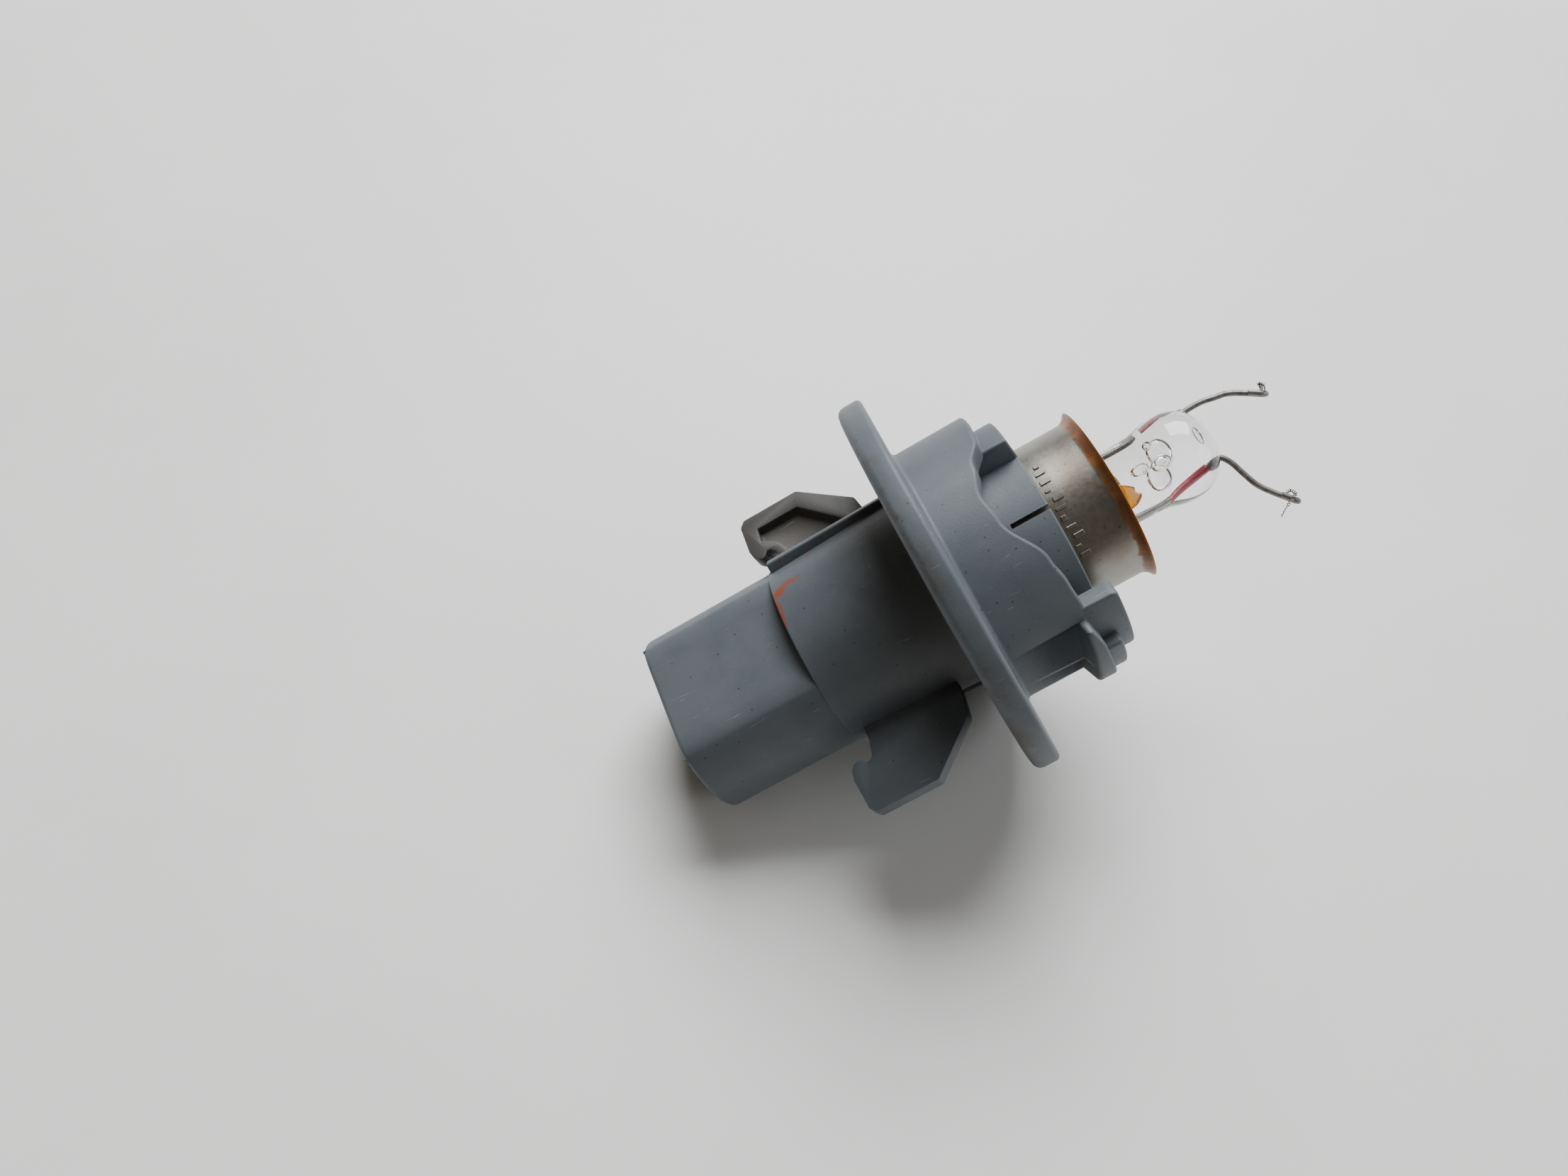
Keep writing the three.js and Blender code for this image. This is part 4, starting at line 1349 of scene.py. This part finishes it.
@dataclass
class LeadWires:
    """The two leads: inner leads, red seal wires, grey supports with folded ends, and filament."""

    plane: float = 25.0
    wire: float = 0.27
    seals: dict[Circuit, Sequence[Point]] = field(default_factory=lambda: {
        Circuit.SUPPLY: ((19.0, 2.3), (20.4, 2.62), (22.1, 2.96), (24.1, 3.13)),
        Circuit.EARTH: ((19.0, -2.3), (19.75, -2.25), (21.1, -1.86), (23.04, -1.45), (24.3, -1.66)),
    })
    supports: dict[Circuit, Sequence[Point]] = field(default_factory=lambda: {
        Circuit.SUPPLY: ((26.0, 3.16), (27.3, 2.92), (28.3, 2.71), (29.5, 2.07), (31.0, 1.06)),
        Circuit.EARTH: (
            (25.08, -1.95), (25.64, -2.71), (26.1, -4.09), (26.62, -5.57), (27.33, -6.67),
            (28.81, -8.51),
        ),
    })
    filaments: dict[Circuit, Sequence[Place]] = field(default_factory=lambda: {
        Circuit.SUPPLY: (
            (30.85, 1.30, 0.1), (31.0, 1.75, 0.35), (30.95, 2.1, 0.5), (31.2, 1.75, 0.6),
            (31.05, 1.3, 0.7),
        ),
        Circuit.EARTH: (
            (28.3, -7.5, 0.2), (28.75, -7.40, 0.5), (28.85, -7.85, 0.8), (28.19, -8.2, 1.1),
            (27.54, -8.50, 1.2), (26.77, -9.0, 1.2),
        ),
    })
    inner: dict[Circuit, Sequence[Point]] = field(default_factory=lambda: {
        Circuit.SUPPLY: (
            (19.7, 2.55), (19.0, 2.3), (6.0, 2.3), (4.2, 1.6), (2.8, 0.3), (1.6, 0.0), (-2.9, 0.0),
        ),
        Circuit.EARTH: ((19.7, -2.2), (19.0, -2.3), (9.0, -2.3), (7.0, -3.4), (6.2, -6.5)),
    })

    def _lay(
        self, piece: bpy.types.Object, material: bpy.types.Material, node: str
    ) -> bpy.types.Object:
        """Turns a wire into the leads' plane and lays it down in place of a node."""
        turn(piece, self.plane)
        return lay_down(piece, Body.BULB, material, 60, [node])

    def _support(self, circuit: Circuit) -> bpy.types.Object:
        """Bends a support wire, with a knob at its weld and its end folded back on itself."""
        seal, support = self.seals[circuit], self.supports[circuit]
        last = seal[-2]
        start = (last[0] + 0.3, last[1] + (seal[-1][1] - last[1]) * 0.15)
        route = [(x, y, 0.0) for x, y in (start, seal[-1], *support)]
        line = smooth_route(route)
        tip, before = line[-1], line[-12]
        along = (tip - before).normalized()
        side = Vector((0, 0, 1))
        fold = [tip + along * 0.10 + side * 0.22, tip - along * 0.05 + side * 0.46]
        fold += [tip - along * share + side * 0.50 for share in (0.5, 1.0, 1.45)]
        strand = draw_wire("support", [*line, *fold], self.wire)
        places = [line[1]] if circuit is Circuit.EARTH else [line[1], line[9]]
        knobs = [
            add_oval("knob", place, size, (1.5, 1.0, 1.0), 20, 12)
            for place, size in zip(places, (0.36, 0.44))
        ]
        return join([strand, *knobs])

    def _coil(self, circuit: Circuit) -> bpy.types.Object:
        """Winds the loose end of the filament along its route."""
        middle = smooth_route(self.filaments[circuit], steps=24)
        line = []
        for i, place in enumerate(middle):
            here = middle[min(i + 1, len(middle) - 1)] - middle[max(i - 1, 0)]
            along = here.normalized()
            across = along.orthogonal().normalized()
            angle = i * 0.85
            loose = 0.13 if i < len(middle) * 0.75 else 0.05
            swing = across * math.cos(angle) + along.cross(across) * math.sin(angle)
            line.append(place + swing * loose)
        return draw_wire("filament", line, 0.045, 1)

    def build(self, lead: Wire, seal: Wire, filament: Wire) -> None:
        """Makes both leads from the cap's contact to the filament's loose ends.

        Args:
            lead: The finish of the inner and support wires.
            seal: The finish of the wires sealed in the glass.
            filament: The filament's finish.
        """
        grey, red, dark = lead.make(), seal.make(), filament.make()
        for circuit in Circuit:
            side = circuit.value
            route = [(x, y, 0.0) for x, y in self.inner[circuit]]
            inner = draw_wire(f"lead_{side}", smooth_route(route), self.wire)
            self._lay(inner, grey, f"inner_lead_{side}")
            seals = self.seals[circuit]
            route = [(x, y, 0.0) for x, y in seals[1:-1]]
            sealed = draw_wire(f"seal_{side}", smooth_route(route), self.wire)
            self._lay(sealed, red, f"seal_wire_{side}")
            self._lay(self._support(circuit), grey, f"support_wire_{side}")
            self._lay(self._coil(circuit), dark, f"filament_remnant_{side}")


# ------------------------------------------------------------------ bench, light and camera
@dataclass
class Studio:
    """The bench, the soft light and the camera."""

    camera: Place = (-39.19, -46.11, 108.51)
    bench_point: Place = (-10.61, 14.44, 0.0)
    right: Place = (0.92703, -0.37327, 0.03594)
    lens: float = 27.007
    sensor: float = 36.0
    bench_side: float = 1.6

    def bench(self) -> None:
        """Lays a plain pale bench under the object."""
        piece = start_piece("bench", bpy.ops.mesh.primitive_plane_add, size=self.bench_side)
        bpy.ops.mesh.subdivide(number_cuts=4)
        bpy.ops.object.mode_set(mode="OBJECT")
        finish = Dull("bench", (0.70, 0.69, 0.67), (0.73, 0.72, 0.70), 0.5, 0.01, 0.05)
        piece.data.materials.append(finish.make())

    def light(
        self, name: str, place: Place, aim: Place, size: float, power: float, colour: Colour
    ) -> None:
        """Hangs a soft square light.

        Args:
            name: The light's name.
            place: Where it hangs, in metres.
            aim: What it faces, in metres.
            size: Its side, in metres.
            power: Its power, in watts.
            colour: Its colour.
        """
        lamp = bpy.data.lights.new(name, "AREA")
        lamp.size = size
        lamp.energy = power
        lamp.color = colour
        holder = bpy.data.objects.new(name, lamp)
        bpy.context.scene.collection.objects.link(holder)
        holder.location = place
        holder.rotation_euler = (Vector(aim) - Vector(place)).to_track_quat("-Z", "Y").to_euler()

    def lights(self) -> None:
        """Lights the bench softly from the far side, with a weak fill from the right."""
        self.light("window", (0.24, 0.50, 0.66), (0, 0, 0.01), 0.62, 18.0, (0.96, 0.98, 1.0))
        self.light("fill", (0.50, -0.34, 0.34), (0, 0, 0.01), 0.45, 1.9, (0.90, 0.95, 1.0))
        world = bpy.data.worlds.new("room")
        world.use_nodes = True
        back = world.node_tree.nodes["Background"]
        back.inputs["Color"].default_value = (1.0, 0.91, 0.80, 1)
        back.inputs["Strength"].default_value = 0.14
        bpy.context.scene.world = world

    def shoot(self) -> None:
        """Sets up the camera above and in front of the object's left."""
        lens = bpy.data.cameras.new("camera")
        lens.lens = self.lens
        lens.sensor_width = self.sensor
        lens.clip_start = 0.005
        lens.clip_end = 5.0
        camera = bpy.data.objects.new("camera", lens)
        bpy.context.scene.collection.objects.link(camera)
        right = Vector(self.right)
        forward = (Vector(self.bench_point) - Vector(self.camera)).normalized()
        right = (right - forward * right.dot(forward)).normalized()
        up = right.cross(forward)
        turned = Matrix((right, up, -forward)).transposed()
        camera.matrix_world = Matrix.Translation(Vector(self.camera) * MM) @ turned.to_4x4()
        bpy.context.scene.camera = camera


# ------------------------------------------------------------------ the frame's own pieces
def dress_frame() -> None:
    """Gives each piece that the frame keeps its procedural finish."""
    tin = Plating("tinned_brass", (0.46, 0.44, 0.39), (0.36, 0.31, 0.23), 0.36, 0.3).make()
    brass = Plating("bare_brass", (0.50, 0.36, 0.15), (0.30, 0.20, 0.08), 0.38, 0.3).make()
    nickel = Plating("pin_nickel", (0.42, 0.40, 0.35), (0.33, 0.29, 0.22), 0.36, 0.3).make()
    solder = Plating("solder", (0.44, 0.44, 0.44), (0.30, 0.30, 0.29), 0.45, 0.6).make()
    board = Dull("fibre_board", (0.10, 0.052, 0.028), (0.15, 0.085, 0.045), 0.8, 0.03).make()
    black = Dull("black_glass", (0.008, 0.008, 0.010), (0.014, 0.014, 0.016), 0.22, 0.004).make()
    putty = Dull("basing_cement", (0.55, 0.50, 0.40), (0.42, 0.36, 0.27), 0.9, 0.05).make()
    finishes = {
        "supply_terminal": tin, "earth_terminal": tin, "contact_disc": board,
        "contact_button": brass, "bayonet_pin_1": nickel, "bayonet_pin_2": nickel,
        "base_insulator": black, "centre_contact": brass, "contact_solder": solder,
        "basing_cement": putty,
    }
    for name, material in finishes.items():
        piece = frame["nodes"][name]
        piece.data.materials.clear()
        piece.data.materials.append(material)


def main() -> None:
    """Builds the object, the bench, the light and the camera."""
    logging.basicConfig(level=logging.INFO, format="%(message)s")
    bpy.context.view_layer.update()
    studio = Studio()
    studio.shoot()
    studio.bench()
    studio.lights()
    Holder().build(Moulding())
    steel = Wire("spring_steel", (0.30, 0.30, 0.31), (0.16, 0.14, 0.12))
    spring, seat = SprungContact().build(steel)
    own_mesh(spring)
    nickel = Plating("nickel_plate", (0.29, 0.28, 0.255), (0.23, 0.205, 0.165), 0.40, lacquer=True)
    BulbCap().build(nickel)
    glass = BulbGlass()
    glass.stub(Glass("amber_glass", (0.95, 0.42, 0.015), 0.02, broken_from=16.2, clear=0.6))
    clear = Glass("clear_glass", (0.98, 0.99, 0.985))
    glass.stem(clear)
    glass.tube(clear)
    LeadWires().build(
        Wire("lead_wire", (0.24, 0.23, 0.22), (0.14, 0.13, 0.12), 0.6),
        Wire("seal_wire", (0.50, 0.09, 0.12), (0.34, 0.06, 0.07), 0.5, 0.4),
        Wire("filament", (0.22, 0.21, 0.20), (0.14, 0.13, 0.12), 0.6),
    )
    dress_frame()


if __name__ == "__main__":
    main()
